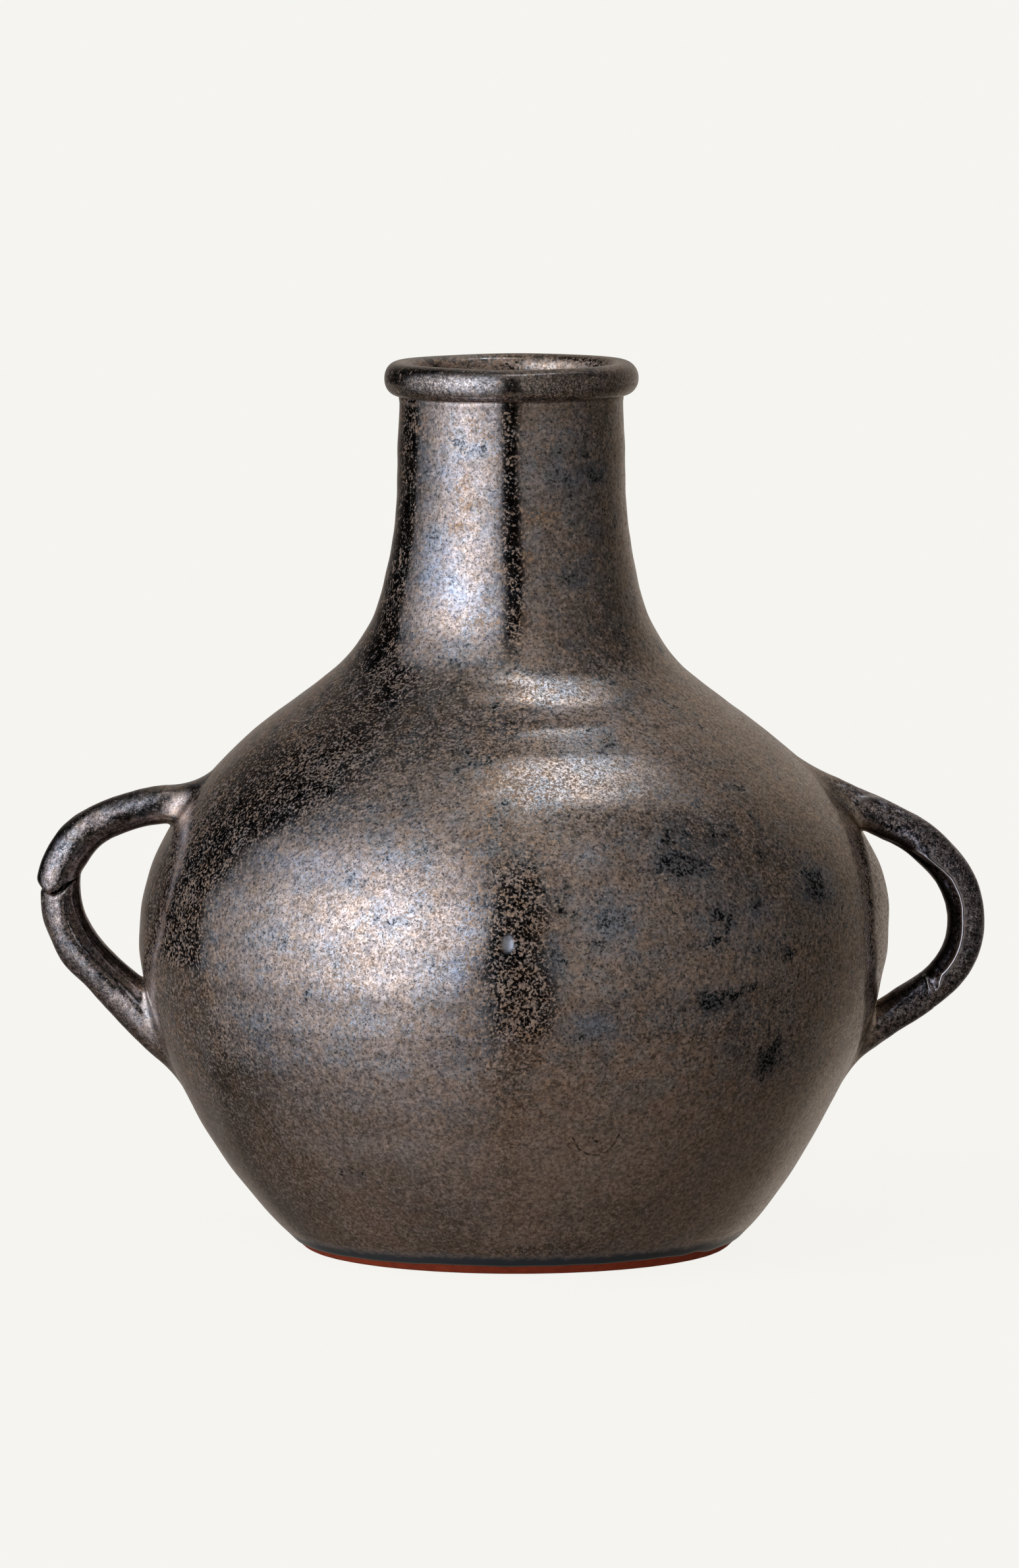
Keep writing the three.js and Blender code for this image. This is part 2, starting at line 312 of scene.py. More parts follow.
# upper dome
op, on = outer_band(heights(BELLY_JOINT, NECK_JOINT, 1.1, [(BELLY_JOINT, 79.0, 0.4), (DIMPLE_Z - 5, DIMPLE_Z + 5, 0.5)]))
ip, inn = inner_rows(heights(BELLY_JOINT, NECK_JOINT, 3.0)[::-1], TH, DOME_WALL)
PIECES["upper_dome"], _ = revolved("upper_dome_wall", TH, [
    (op, on),
    ring_between(op[-1], ip[0], 1.0),
    (ip, inn),
    ring_between(ip[-1], op[0], -1.0),
], "ring")

# neck
op, on = outer_band(heights(NECK_JOINT, LIP_JOINT, 0.9, [(236.6, LIP_JOINT, 0.2)]))
zs = heights(NECK_JOINT, LIP_JOINT, 2.0)[::-1]
ip, inn = inner_rows(zs, TH, NECK_WALL)
PIECES["neck"], _ = revolved("neck_wall", TH, [
    (op, on),
    ring_between(op[-1], ip[0], 1.0),
    (ip, inn),
    ring_between(ip[-1], op[0], -1.0),
], "ring")
MOUTH_ROW = ip[0]
NECK_TOP_ROW = op[-1]

# rolled lip: an oval coil that overhangs the neck
LIP_R, LIP_Z, LIP_W, LIP_H = 31.4, 245.3, 4.3, 4.7
ALPHA = np.radians(np.concatenate([np.linspace(-84, 150, 62), np.linspace(156, 180, 5)]))


def lip_point(al, th):
    h = LIP_H + 0.10 * np.sin(2 * th + 0.7) + 0.06 * np.sin(5 * th)
    w = LIP_W + 0.10 * np.sin(3 * th + 1.9) + 0.05 * np.sin(7 * th + 0.4)
    zc = LIP_Z + 0.10 * np.sin(th + 2.2)
    ca, sa = np.cos(al), np.sin(al)
    # a little squarer than an ellipse, and leaning out at the top
    ca = np.sign(ca) * np.abs(ca) ** 0.94
    sa = np.sign(sa) * np.abs(sa) ** 0.94
    r = LIP_R + w * ca + 0.10 * np.cos(9 * th + 3 * al)*0.3
    z = zc + h * sa
    return np.stack([np.interp(243.0, ZT, DT) + r * np.cos(th), r * np.sin(th), z], -1)


A, T = np.meshgrid(ALPHA, TH, indexing="ij")
lp = lip_point(A, T)
e = 0.01
ln = np.cross(lip_point(A, T + e) - lip_point(A, T - e), lip_point(A + e, T) - lip_point(A - e, T))
ln /= np.linalg.norm(ln, axis=-1, keepdims=True)
down_in = np.stack([lp[-1], 0.5 * (lp[-1] + MOUTH_ROW), MOUTH_ROW])
din = np.repeat(np.stack([-np.cos(TH), -np.sin(TH), 0 * TH], -1)[None], 3, 0)
tuck = np.stack([NECK_TOP_ROW, lp[0]])
tuck_n = np.zeros_like(tuck)
tuck_n[..., 2] = -1.0
PIECES["rim_bead"], _ = revolved("rim_bead_coil", TH, [
    (tuck, tuck_n),
    (lp, ln),
    (down_in, din),
    ring_between(MOUTH_ROW, NECK_TOP_ROW, -1.0),
], "ring")

# base disc: bare clay foot, with the rolled edge of the glaze above it
FOOT_TH = angle_set(720)


def glaze_line(th):
    """Height of the edge of the glaze above the table, wavy as it ran."""
    az = th - FRONT
    d = np.angle(np.exp(1j * (az - 0.92)))
    return (
        2.62 + 0.42 * np.sin(az) + 0.10 * np.sin(th * 3 + 0.4) + 0.11 * np.sin(th * 7 + 2.1) + 0.07 * np.sin(th * 13 + 0.9)
        + 0.05 * np.sin(th * 29 + 1.3) + 0.50 * np.exp(-((d / 0.05) ** 2)) - 0.30 * np.exp(-(((d - 0.14) / 0.08) ** 2))
    )


def foot_point(z, th):
    line = glaze_line(th)
    r = np.interp(z, ZT, RT)
    d = z - line
    # the glaze ends in a thick rounded roll, and the clay below it is set back
    roll = 0.30 / (1 + np.exp(-d / 0.10)) * (0.55 + 0.45 * np.exp(-((d - 0.6) / 1.1) ** 2))
    low = np.clip(z / 0.9, 0, 1)
    r = r - 0.30 + roll + 0.13 * np.clip((z - 3.5) / 3.5, 0, 1) - 0.9 * (1 - np.sqrt(1 - (1 - low) ** 2))
    x, y = r * np.cos(th), r * np.sin(th)
    r = r + uneven(x, y, z) * np.clip((z - 0.5) / 6.0, 0, 1) + 0.03 * np.sin(41 * th + 3 * z) * np.clip(-d / 0.6, 0, 1)
    return np.stack([np.interp(z, ZT, DT) + r * np.cos(th), r * np.sin(th), z + 0 * th], -1)


fz = np.concatenate([np.linspace(0, 0.9, 7)[:-1], np.linspace(0.9, 4.4, 26)[:-1], np.linspace(4.4, FLOOR_EDGE, 7)])
Z, T = np.meshgrid(fz, FOOT_TH, indexing="ij")
fpnt = foot_point(Z, T)
fpnt[-1] = wall_point(np.full(len(FOOT_TH), FLOOR_EDGE), FOOT_TH)
fnor = np.cross(foot_point(Z, T + 0.002) - foot_point(Z, T - 0.002), foot_point(Z + 0.04, T) - foot_point(Z - 0.04, T))
fnor /= np.linalg.norm(fnor, axis=-1, keepdims=True)
fnor[-1] = wall_normal(np.full(len(FOOT_TH), FLOOR_EDGE), FOOT_TH)
CXB = float(np.interp(0.0, ZT, DT))
under_r = np.array([0.0, 6, 14, 22, 30, 37, 42, 45, 47, 49, 51, 54, 56.5])
up_p, up_n = [], []
for r in under_r:
    z = 0.45 * (1 - np.clip((r - 42) / 9.0, 0, 1) ** 2 * (3 - 2 * np.clip((r - 42) / 9.0, 0, 1)))
    p, q = flat_rows([r], z, FOOT_TH, False, CXB)
    up_p.append(p[0]), up_n.append(q[0])
up_p.append(fpnt[0]), up_n.append(up_n[-1])
pad = [flat_rows([r], FLOOR_EDGE, FOOT_TH, True, CXB)[0][0] for r in (59.7,)]
top = [flat_rows([r], 10.0, FOOT_TH, True, CXB)[0][0] for r in (59.2, 54, 40, 24, 10, 0.0)]
side_n = np.stack([np.cos(FOOT_TH), np.sin(FOOT_TH), 0 * FOOT_TH], -1)
PIECES["base_disc"], _ = revolved("base_disc_slab", FOOT_TH, [
    (np.stack(up_p), np.stack(up_n)),
    (fpnt, fnor),
    ring_between(fpnt[-1], pad[0], 1.0),
    (np.stack([pad[0], top[0]]), np.stack([side_n, side_n])),
    (np.stack(top), flat_rows([1] * len(top), 10.0, FOOT_TH, True)[1]),
], "axis")


# ---------------------------------------------------------------- handle coils


def spline(t, y, q):
    """Natural cubic spline."""
    n = len(t)
    h = np.diff(t)
    m = np.zeros((n, n))
    b = np.zeros(n)
    m[0, 0] = m[-1, -1] = 1
    for i in range(1, n - 1):
        m[i, i - 1], m[i, i], m[i, i + 1] = h[i - 1], 2 * (h[i - 1] + h[i]), h[i]
        b[i] = 6 * ((y[i + 1] - y[i]) / h[i] - (y[i] - y[i - 1]) / h[i - 1])
    k = np.linalg.solve(m, b)
    i = np.clip(np.searchsorted(t, q) - 1, 0, n - 2)
    u = q - t[i]
    w = h[i] - u
    return (
        k[i] * w**3 / (6 * h[i]) + k[i + 1] * u**3 / (6 * h[i])
        + (y[i] / h[i] - k[i] * h[i] / 6) * w + (y[i + 1] / h[i] - k[i + 1] * h[i] / 6) * u
    )


class Line:
    """A coil's middle line in the XZ plane with its half thickness, by length from its first point."""

    def __init__(self, pts):
        pts = np.array(pts, float)
        t = np.concatenate([[0], np.cumsum(np.hypot(*np.diff(pts[:, :2], axis=0).T))])
        q = np.linspace(0, t[-1], 1600)
        step = q[1] - q[0]
        self.x = soften(spline(t, pts[:, 0], q), step, 2.2)
        self.z = soften(spline(t, pts[:, 1], q), step, 2.2)
        self.a = soften(np.interp(q, t, pts[:, 2]), step, 3.0)
        self.s = np.concatenate([[0], np.cumsum(np.hypot(np.diff(self.x), np.diff(self.z)))])
        tx, tz = np.gradient(self.x, self.s), np.gradient(self.z, self.s)
        n = np.hypot(tx, tz)
        self.tx, self.tz = tx / n, tz / n

    def near(self, x, z):
        return float(self.s[np.argmin(np.hypot(self.x - x, self.z - z))])

    def at(self, s):
        f = lambda v: np.interp(s, self.s, v)
        return f(self.x), f(self.z), f(self.tx), f(self.tz), f(self.a)


def outside(p):
    """How far a point is outside the body's wall, level with it."""
    x = p[..., 0] - np.interp(p[..., 2], ZT, DT)
    return np.hypot(x, p[..., 1]) - np.interp(p[..., 2], ZT, RT)


def onto_wall(p, depth):
    """The nearest place on the wall, sunk by depth."""
    z = p[..., 2].copy()
    th = np.arctan2(p[..., 1], p[..., 0] - np.interp(z, ZT, DT))
    for _ in range(12):
        q = wall_point(z, th)
        n = wall_normal(z, th)
        d = p - q
        move = d - (d * n).sum(-1, keepdims=True) * n
        z = z + 0.8 * move[..., 2]
        t = np.stack([-np.sin(th), np.cos(th), 0 * th], -1)
        th = th + 0.8 * (move * t).sum(-1) / np.maximum(wall_radius(z, th), 1)
    return wall_point(z, th) - depth * wall_normal(z, th)


NPHI = 120
PHI = np.linspace(0, 2 * math.pi, NPHI, endpoint=False)


def lobes(outer, front, inner, back):
    """A value round the section: outer side, camera side, side towards the body, far side."""
    c, s = np.cos(PHI), np.sin(PHI)
    wo, wi = np.clip(c, 0, 1) ** 2, np.clip(-c, 0, 1) ** 2
    wf, wb = np.clip(-s, 0, 1) ** 2, np.clip(s, 0, 1) ** 2
    return outer * wo + inner * wi + front * wf + back * wb


def apart(path, d, w):
    """Distance from places on the unrolled skin to a drawn line."""
    best = np.full(d.shape, 1e9)
    for (d0, w0), (d1, w1) in zip(path[:-1], path[1:]):
        ex, ey = d1 - d0, w1 - w0
        f = np.clip(((d - d0) * ex + (w - w0) * ey) / (ex * ex + ey * ey), 0, 1)
        best = np.minimum(best, np.hypot(d - d0 - f * ex, w - w0 - f * ey))
    return best


def coil(name, pts, outward, lap_at, reach, spread, hard, depth, tip, seam, seed, tip_round, shift, match, shade, lumps=1.0, lines=(), scars=(), flap=None, rim=0.0):
    """One clay coil from its root on the body to its lap.
    pts run from inside the body to past the lap. outward is +1 where the outer side is to the left of travel.
    reach and spread are how far the smeared root runs along the coil and over the wall. hard is how sharply it ends
    there.
    seam shifts the end along the coil by place in the section. Near the lap, shift moves the outer part of the section
    outwards and match the inner part.
    lines are ridges or grooves pressed along the camera side: angle from the outer side at the root and at the lap,
    width, height.
    scars are drawn ridges or grooves: places as length back from the lap and angle from the outer side, width, height.
    shade is where across the section the painted shade on the inner side begins, and how dark it is. rim is how dark
    the painted shade along the outer edge is.
    flap is a small lifted edge of clay on the camera side of the root, from one (x, z) to another."""
    local = np.random.default_rng(seed)
    line = Line(pts)
    lap = line.near(*lap_at)
    end = lap + tip
    waves = [(local.uniform(0.12, 0.55), int(local.integers(1, 6)), local.uniform(0, 6.28), lumps * local.uniform(0.01, 0.042))
             for _ in range(22)]
    fine = [(local.uniform(0.8, 1.9), int(local.integers(3, 11)), local.uniform(0, 6.28), lumps * local.uniform(0.002, 0.008))
            for _ in range(16)]

    def surface(s, scale=1.0):
        """Points of the section at length s (one value for each angle)."""
        s = np.broadcast_to(np.asarray(s, float), PHI.shape)
        c, q = np.cos(PHI), np.sin(PHI)
        near = np.clip(1 - (end - s) / 11.0, 0, 1)
        near = near * near * (3 - 2 * near)
        along = s + seam(c, q) * near
        x, z, tx, tz, a = line.at(along)
        nx, nz = -tz * outward, tx * outward
        e = 0.93
        u = a * np.sign(c) * np.abs(c) ** e
        v = a * depth * np.sign(q) * np.abs(q) ** e
        bump = sum(A * np.cos(w * s + m * PHI + p) for w, m, p, A in waves)
        bump = bump + sum(A * np.cos(w * s + m * PHI + p) for w, m, p, A in fine)
        bump = bump * (1 - 0.75 * near)
        # a shallow flat pressed along the inner side
        bump = bump - 0.35 * np.clip(-c, 0, 1) ** 4
        turn = np.arctan2(-q, c)
        for at_root, at_lap, wide, tall in lines:
            mid = at_root + (at_lap - at_root) * np.clip(s / end, 0, 1) + 0.05 * np.sin(0.21 * s + 7 * at_lap)
            bump = bump + tall * np.exp(-(((turn - mid) / wide) ** 2)) * np.clip((end - s) / 5.0, 0, 1)
        for path, wide, tall in scars:
            bump = bump + tall * np.exp(-((apart([(d, 5.4 * w) for d, w in path], lap - along, 5.4 * turn) / wide) ** 2))
        g = (1 + bump / a) * scale
        out = np.clip((c + 0.9) / 1.1, 0, 1)
        out = out * out * (3 - 2 * out)
        u = u * g + near * (shift * out + match * (1 - out))
        v = v * g
        return np.stack([x + nx * u, v, z + nz * u], -1)

    def worn(s):
        """How worn and bright the drawn ridges are at length s."""
        s = np.broadcast_to(np.asarray(s, float), PHI.shape)
        near = np.clip(1 - (end - s) / 11.0, 0, 1)
        along = s + seam(np.cos(PHI), np.sin(PHI)) * near * near * (3 - 2 * near)
        turn = np.arctan2(-np.sin(PHI), np.cos(PHI))
        value = np.zeros(NPHI)
        for path, wide, tall in scars:
            if tall > 0:
                d = apart([(d, 5.4 * w) for d, w in path], lap - along, 5.4 * turn)
                value = np.maximum(value, np.exp(-((d / (0.6 * wide)) ** 2)))
        return value

    # where each line along the coil meets the wall
    ss = np.linspace(0, end - 6, 420)
    dist = np.stack([outside(surface(s)) for s in ss])
    hit = np.empty(NPHI)
    for i in range(NPHI):
        inside = np.nonzero(dist[:, i] < 0)[0]
        j = inside[-1] if len(inside) else 0
        d0, d1 = dist[j, i], dist[min(j + 1, len(ss) - 1), i]
        hit[i] = ss[j] + (ss[1] - ss[0]) * (-d0) / max(d1 - d0, 1e-6)
    k = np.array([1, 4, 6, 4, 1]) / 16.0
    for _ in range(3):
        hit = sum(w * np.roll(hit, o) for w, o in zip(k, range(-2, 3)))
    start = hit + lobes(*reach)
    w = lobes(*spread)
    q = surface(hit)
    x, z, _, _, _ = line.at(hit)
    away = q - np.stack([x, 0 * x, z], -1)
    wall_q = onto_wall(q, 0.0)
    zq = wall_q[:, 2]
    thq = np.arctan2(wall_q[:, 1], wall_q[:, 0] - np.interp(zq, ZT, DT))
    n = wall_normal(zq, thq)
    away = away - (away * n).sum(-1, keepdims=True) * n
    away /= np.linalg.norm(away, axis=-1, keepdims=True)
    foot_edge = onto_wall(wall_q + away * w[:, None], 0.10)
    foot_in = onto_wall(wall_q + away * (w[:, None] - 0.3), 1.6)
    s_point = surface(start)
    h = lobes(*hard)[:, None]
    ctrl = q * (1 - h) + (0.5 * (s_point + foot_edge)) * h
    rings, wear, root = [], [], []
    for t in np.linspace(0, 1, 19)[::-1]:
        rings.append((1 - t) ** 2 * s_point + 2 * t * (1 - t) * ctrl + t * t * foot_edge)
        wear.append(np.zeros(NPHI))
        root.append(np.full(NPHI, ((t + 1.4) / 2.4) ** 2))
    # along the coil from the end of the smear to the lap
    long = float((end - start).mean())
    split = max(0.0, 1 - 17.0 / long)
    free = np.concatenate([np.linspace(0, split, max(2, int(split * long / 0.9)))[:-1], np.linspace(split, 1, int((1 - split) * long / 0.38))])
    edge = 1.0 - tip_round[0] / line.at(end)[4]
    proud = np.clip((np.cos(PHI) + 0.75) / 0.7, 0, 1)
    proud = 0.12 + 0.88 * proud * proud * (3 - 2 * proud)
    for t in free[1:]:
        rings.append(surface(start + (end - tip_round[0] * proud - start) * t))
        wear.append(worn(start + (end - tip_round[0] * proud - start) * t))
        root.append(np.full(NPHI, 0.34 * math.exp(-t * long / 6.0)))
    if flap:
        for i, ring in enumerate(rings):
            lift = np.exp(-((apart(flap, ring[:, 0], ring[:, 2]) / 0.62) ** 2)) * np.clip(-ring[:, 1] / 2.0, 0, 1)
            rings[i] = ring + 0.42 * lift[:, None] * np.array([0.0, -0.75, 0.66])
            wear[i] = np.maximum(wear[i], lift)
    for b in np.linspace(0, 90, 8)[1:]:
        b = math.radians(b)
        rings.append(surface(end - tip_round[0] * proud * (1 - math.sin(b)), 1 - (1 - edge) * proud * tip_round[1] * (1 - math.cos(b))))
    for sc in (0.7, 0.42, 0.18):
        rings.append(surface(end, sc * (1 - (1 - edge) * proud * tip_round[1])))
    verts = foot_in.tolist()
    for r in rings:
        verts.extend(r.tolist())
    faces = []
    rows = len(rings) + 1
    for j in range(rows - 1):
        for i in range(NPHI):
            i2 = (i + 1) % NPHI
            faces.append((j * NPHI + i, j * NPHI + i2, (j + 1) * NPHI + i2, (j + 1) * NPHI + i))
    low, high = len(verts), len(verts) + 1
    verts.append(foot_in.mean(0).tolist())
    verts.append(rings[-1].mean(0).tolist())
    for i in range(NPHI):
        i2 = (i + 1) % NPHI
        faces.append((low, i2, i))
        j = (rows - 1) * NPHI
        faces.append((high, j + i, j + i2))
    v = np.array(verts)
    f = np.array([t[:3] for t in faces])
    volume = np.einsum("ij,ij->i", v[f[:, 0]], np.cross(v[f[:, 1]], v[f[:, 2]])).sum()
    quads = [t for t in faces if len(t) == 4]
    g = np.array([(t[0], t[2], t[3]) for t in quads])
    volume += np.einsum("ij,ij->i", v[g[:, 0]], np.cross(v[g[:, 1]], v[g[:, 2]])).sum()
    if volume < 0:
        faces = [t[::-1] for t in faces]
    obj = make_object(name, verts, faces)
    # painted shade: the inner side of the coil, where shade falls between coil and body, is darkened; it eases off at
    # the very inner edge, leaving a thin lighter line as a painted reflection, and rim adds painted shade along the
    # outer edge
    side = np.clip((shade[0] - np.cos(PHI)) / 0.25, 0, 1)
    side = side * side * (3 - 2 * side) * shade[1]
    side = side * (1 - 0.6 * np.clip((-np.cos(PHI) - 0.90) / 0.06, 0, 1))
    side = np.maximum(side, rim * np.clip((np.cos(PHI) - 0.62) / 0.3, 0, 1))
    a = obj.data.attributes.new("painted_shade_side", "FLOAT", "POINT")
    a.data.foreach_set("value", np.concatenate([np.tile(side, rows), [0.0, 0.0]]).astype(np.float32))
    a = obj.data.attributes.new("near_root", "FLOAT", "POINT")
    root = np.concatenate([np.ones(NPHI)] + root)
    a.data.foreach_set("value", np.concatenate([root, np.zeros(len(verts) - len(root))]).astype(np.float32))
    a = obj.data.attributes.new("worn_edge", "FLOAT", "POINT")
    wear = np.concatenate(wear)
    a.data.foreach_set("value", np.concatenate([np.zeros(NPHI), wear, np.zeros(len(verts) - NPHI - len(wear))]).astype(np.float32))
    return obj


def left_seam(c, s):
    """The rounded tongue of the upper left coil, lowest just outside the middle."""
    return np.interp(c, [-1, -0.6, 0.0, 0.4, 0.75, 1], [-4.6, -2.5, 0.9, 1.7, 1.1, 0.1])


def left_seam_low(c, s):
    """The lower coil's end, the other side of the same joint."""
    return -np.interp(c, [-1, -0.6, 0.0, 0.4, 0.75, 1], [-3.5, -2.0, 0.9, 1.7, 1.1, 0.1])


def right_seam(c, s):
    """A close joint that steps back along the inner side."""
    f = np.clip(-s, 0, 1)
    return 1.6 * c + f * 0.35 * np.sin(5.2 * c + 0.6)


def right_seam_low(c, s):
    return -right_seam(c, s)


PIECES["left_handle_upper_coil"] = coil(
    "left_handle_upper",
    [(-80, 124.2, 5.6), (-86, 124.7, 5.6), (-92, 124.95, 5.55), (-98.6, 124.8, 5.5), (-103.9, 123.8, 5.5), (-108.5, 122.4, 5.45),
     (-112.7, 121.0, 5.5), (-116.4, 119.2, 5.6), (-119.7, 116.9, 5.8), (-122.4, 114.1, 5.95), (-124.5, 110.9, 6.0),
     (-126.2, 107.6, 6.05), (-127.0, 104.2, 6.15), (-127.3, 100.6, 6.2), (-127.1, 96.6, 6.2), (-126.4, 92.0, 6.2)],
    -1, (-127.2, 101.9), (9.0, 7.0, 2.2, 7.0), (8.5, 3.8, 1.6, 3.8), (0.0, 0.10, 0.1, 0.10), 1.13, -0.05, left_seam, 11, (2.0, 0.95), 0.35, 0.25, (0.02, 0.62), 1.0, [(2.2, 2.0, 0.10, -0.10)], (), None, 0.6,
)
PIECES["left_handle_lower_coil"] = coil(
    "left_handle_lower",
    [(-82.8, 49.7, 8.0), (-88.8, 54.5, 8.0), (-94.8, 59.3, 7.95), (-100.3, 63.8, 7.8), (-105.0, 67.9, 7.35), (-108.9, 71.6, 6.7), (-112.6, 75.25, 6.35),
     (-115.7, 78.2, 6.3), (-118.2, 80.8, 6.35), (-120.5, 83.3, 6.35), (-122.3, 85.9, 6.35), (-123.8, 88.6, 6.3), (-125.1, 91.4, 6.25),
     (-126.1, 94.4, 6.1), (-126.7, 97.5, 5.95), (-127.0, 100.8, 5.9), (-127.0, 104.3, 5.9), (-126.6, 108.5, 5.9)],
    1, (-127.2, 101.9), (7.5, 5.0, 2.0, 5.0), (8.0, 2.8, 1.2, 2.8), (0.0, 0.10, 0.1, 0.10), 1.12, -0.05, left_seam_low, 23, (1.5, 0.9), -0.45, -0.25, (0.02, 0.74), 1.0,
    [(1.75, 1.65, 0.07, -0.16), (2.2, 2.1, 0.07, 0.16), (2.6, 2.55, 0.07, -0.14)],
)
PIECES["right_handle_upper_coil"] = coil(
    "right_handle_upper",
    [(78, 132.6, 5.4), (86, 129.2, 5.4), (94.5, 125.5, 5.4), (103.0, 121.6, 5.35), (108.7, 118.9, 5.35), (113.2, 116.4, 5.4), (116.8, 113.7, 5.45),
     (119.6, 111.1, 5.45), (122.0, 108.6, 5.45), (123.9, 106.1, 5.45), (125.4, 103.7, 5.45), (126.6, 101.1, 5.45), (127.5, 98.6, 5.45),
     (128.1, 95.8, 5.45), (128.3, 92.4, 5.45), (128.0, 88.4, 5.45), (127.3, 85.2, 5.45), (126.2, 82.4, 5.45), (124.7, 79.8, 5.4),
     (122.7, 77.2, 5.35), (120.1, 74.6, 5.3), (117.0, 72.1, 5.3), (113.2, 69.5, 5.3), (108.7, 66.8, 5.3)],
    1, (117.6, 72.6), (9.0, 6.5, 1.8, 6.5), (9.0, 3.4, 1.2, 3.4), (0.0, 0.10, 0.1, 0.10), 1.13, -0.05, right_seam, 37, (0.35, 0.4), 0.0, 0.14, (-0.24, 1.0), 1.0, [],
    [([(50, 2.06), (44.4, 1.86), (37.1, 1.66), (29.9, 1.64), (24.1, 1.71), (17.4, 1.67), (12.2, 1.67), (6.1, 1.70), (3.6, 1.46)], 0.95, 0.52),
     ([(58, 2.62), (51, 2.42), (44.4, 2.16), (37.1, 1.98), (29.9, 1.97), (24.1, 2.03), (17.4, 2.0), (12.2, 2.0), (7.0, 2.0)], 1.2, -0.24),
     ([(3.6, 1.46), (2.4, 1.37), (1.2, 1.38), (0.9, 1.68), (1.8, 2.05), (2.2, 2.42), (1.0, 2.50)], 0.45, 0.34)], [(97.3, 126.6), (100.5, 127.3), (104.1, 127.0)],
)
PIECES["right_handle_lower_coil"] = coil(
    "right_handle_lower",
    [(82.45, 50.8, 6.3), (89.45, 54.8, 6.3), (96.8, 58.95, 6.25), (103.25, 63.4, 5.5), (108.7, 66.7, 5.4), (113.3, 69.5, 5.35), (117.1, 72.1, 5.3),
     (120.1, 74.5, 5.3), (122.7, 77.1, 5.3), (124.8, 80.0, 5.3)],
    -1, (117.6, 72.6), (5.0, 3.8, 1.4, 3.8), (11.0, 2.4, 1.0, 2.4), (0.1, 0.10, 0.1, 0.10), 1.12, -0.05, right_seam_low, 41, (0.35, 0.4), 0.0, -0.14, (-0.08, 0.88), 1.5, [],
    [([(0.9, 0.98), (1.3, 1.2), (2.1, 1.06), (2.6, 0.80)], 0.36, 0.20), ([(3.2, 1.15), (4.5, 1.30)], 0.9, -0.22)],
)


# ---------------------------------------------------------------- finishes


class Nodes:
    """Short names for building a node tree."""

    def __init__(self, tree):
        self.tree = tree
        tree.nodes.clear()

    def new(self, kind, **props):
        n = self.tree.nodes.new(kind)
        for k, v in props.items():
            setattr(n, k, v)
        return n

    def put(self, socket, value):
        if isinstance(value, bpy.types.NodeSocket):
            self.tree.links.new(value, socket)
        else:
            socket.default_value = value

    def math(self, op, a, b=0.0, clamp=False):
        n = self.new("ShaderNodeMath", operation=op, use_clamp=clamp)
        self.put(n.inputs[0], a)
        self.put(n.inputs[1], b)
        return n.outputs[0]

    def vec(self, op, a, b=(0, 0, 0), scale=None):
        n = self.new("ShaderNodeVectorMath", operation=op)
        self.put(n.inputs[0], a)
        if scale is not None:
            self.put(n.inputs["Scale"], scale)
        else:
            self.put(n.inputs[1], b)
        return n.outputs[1] if op in ("LENGTH", "DISTANCE", "DOT_PRODUCT") else n.outputs[0]

    def step(self, v, low, high, out_low=0.0, out_high=1.0):
        n = self.new("ShaderNodeMapRange", interpolation_type="SMOOTHSTEP")
        self.put(n.inputs[0], v)
        for i, x in enumerate((low, high, out_low, out_high)):
            self.put(n.inputs[i + 1], x)
        return n.outputs[0]

    def noise(self, p, scale, detail=2.0, rough=0.5, twist=0.0):
        n = self.new("ShaderNodeTexNoise", noise_dimensions="3D")
        self.put(n.inputs["Vector"], p)
        n.inputs["Scale"].default_value = scale
        n.inputs["Detail"].default_value = detail
        n.inputs["Roughness"].default_value = rough
        n.inputs["Distortion"].default_value = twist
        return n.outputs["Fac"]

    def colour(self, f, a, b):
        n = self.new("ShaderNodeMix", data_type="RGBA")
        self.put(n.inputs[0], f)
        self.put(n.inputs[6], a if isinstance(a, bpy.types.NodeSocket) else (*a, 1.0))
        self.put(n.inputs[7], b if isinstance(b, bpy.types.NodeSocket) else (*b, 1.0))
        return n.outputs[2]

    def mix(self, f, a, b):
        n = self.new("ShaderNodeMix", data_type="FLOAT")
        self.put(n.inputs[0], f)
        self.put(n.inputs[2], a)
        self.put(n.inputs[3], b)
        return n.outputs[0]

    def attribute(self, name):
        return self.new("ShaderNodeAttribute", attribute_name=name).outputs["Fac"]


def stroke(g, p, points, wide):
    """A thin line drawn on the front, through points of (x, z) in millimetres."""
    parts = g.new("ShaderNodeSeparateXYZ")
    g.put(parts.inputs[0], p)
    flat = g.new("ShaderNodeCombineXYZ")
    g.put(flat.inputs[0], parts.outputs[0])
    g.put(flat.inputs[1], parts.outputs[2])
    best = None
    for (x0, z0), (x1, z1) in zip(points[:-1], points[1:]):
        ex, ez = x1 - x0, z1 - z0
        k = 1.0 / (ex * ex + ez * ez)
        rel = g.vec("SUBTRACT", flat.outputs[0], (x0, z0, 0.0))
        f = g.math("MULTIPLY", g.vec("DOT_PRODUCT", rel, (ex * k, ez * k, 0.0)), 1.0, clamp=True)
        d = g.vec("DISTANCE", rel, g.vec("SCALE", (ex, ez, 0.0), scale=f))
        best = d if best is None else g.math("MINIMUM", best, d)
    front = g.step(parts.outputs[1], -20.0, -30.0)
    return g.math("MULTIPLY", front, g.step(best, wide, 0.3 * wide))


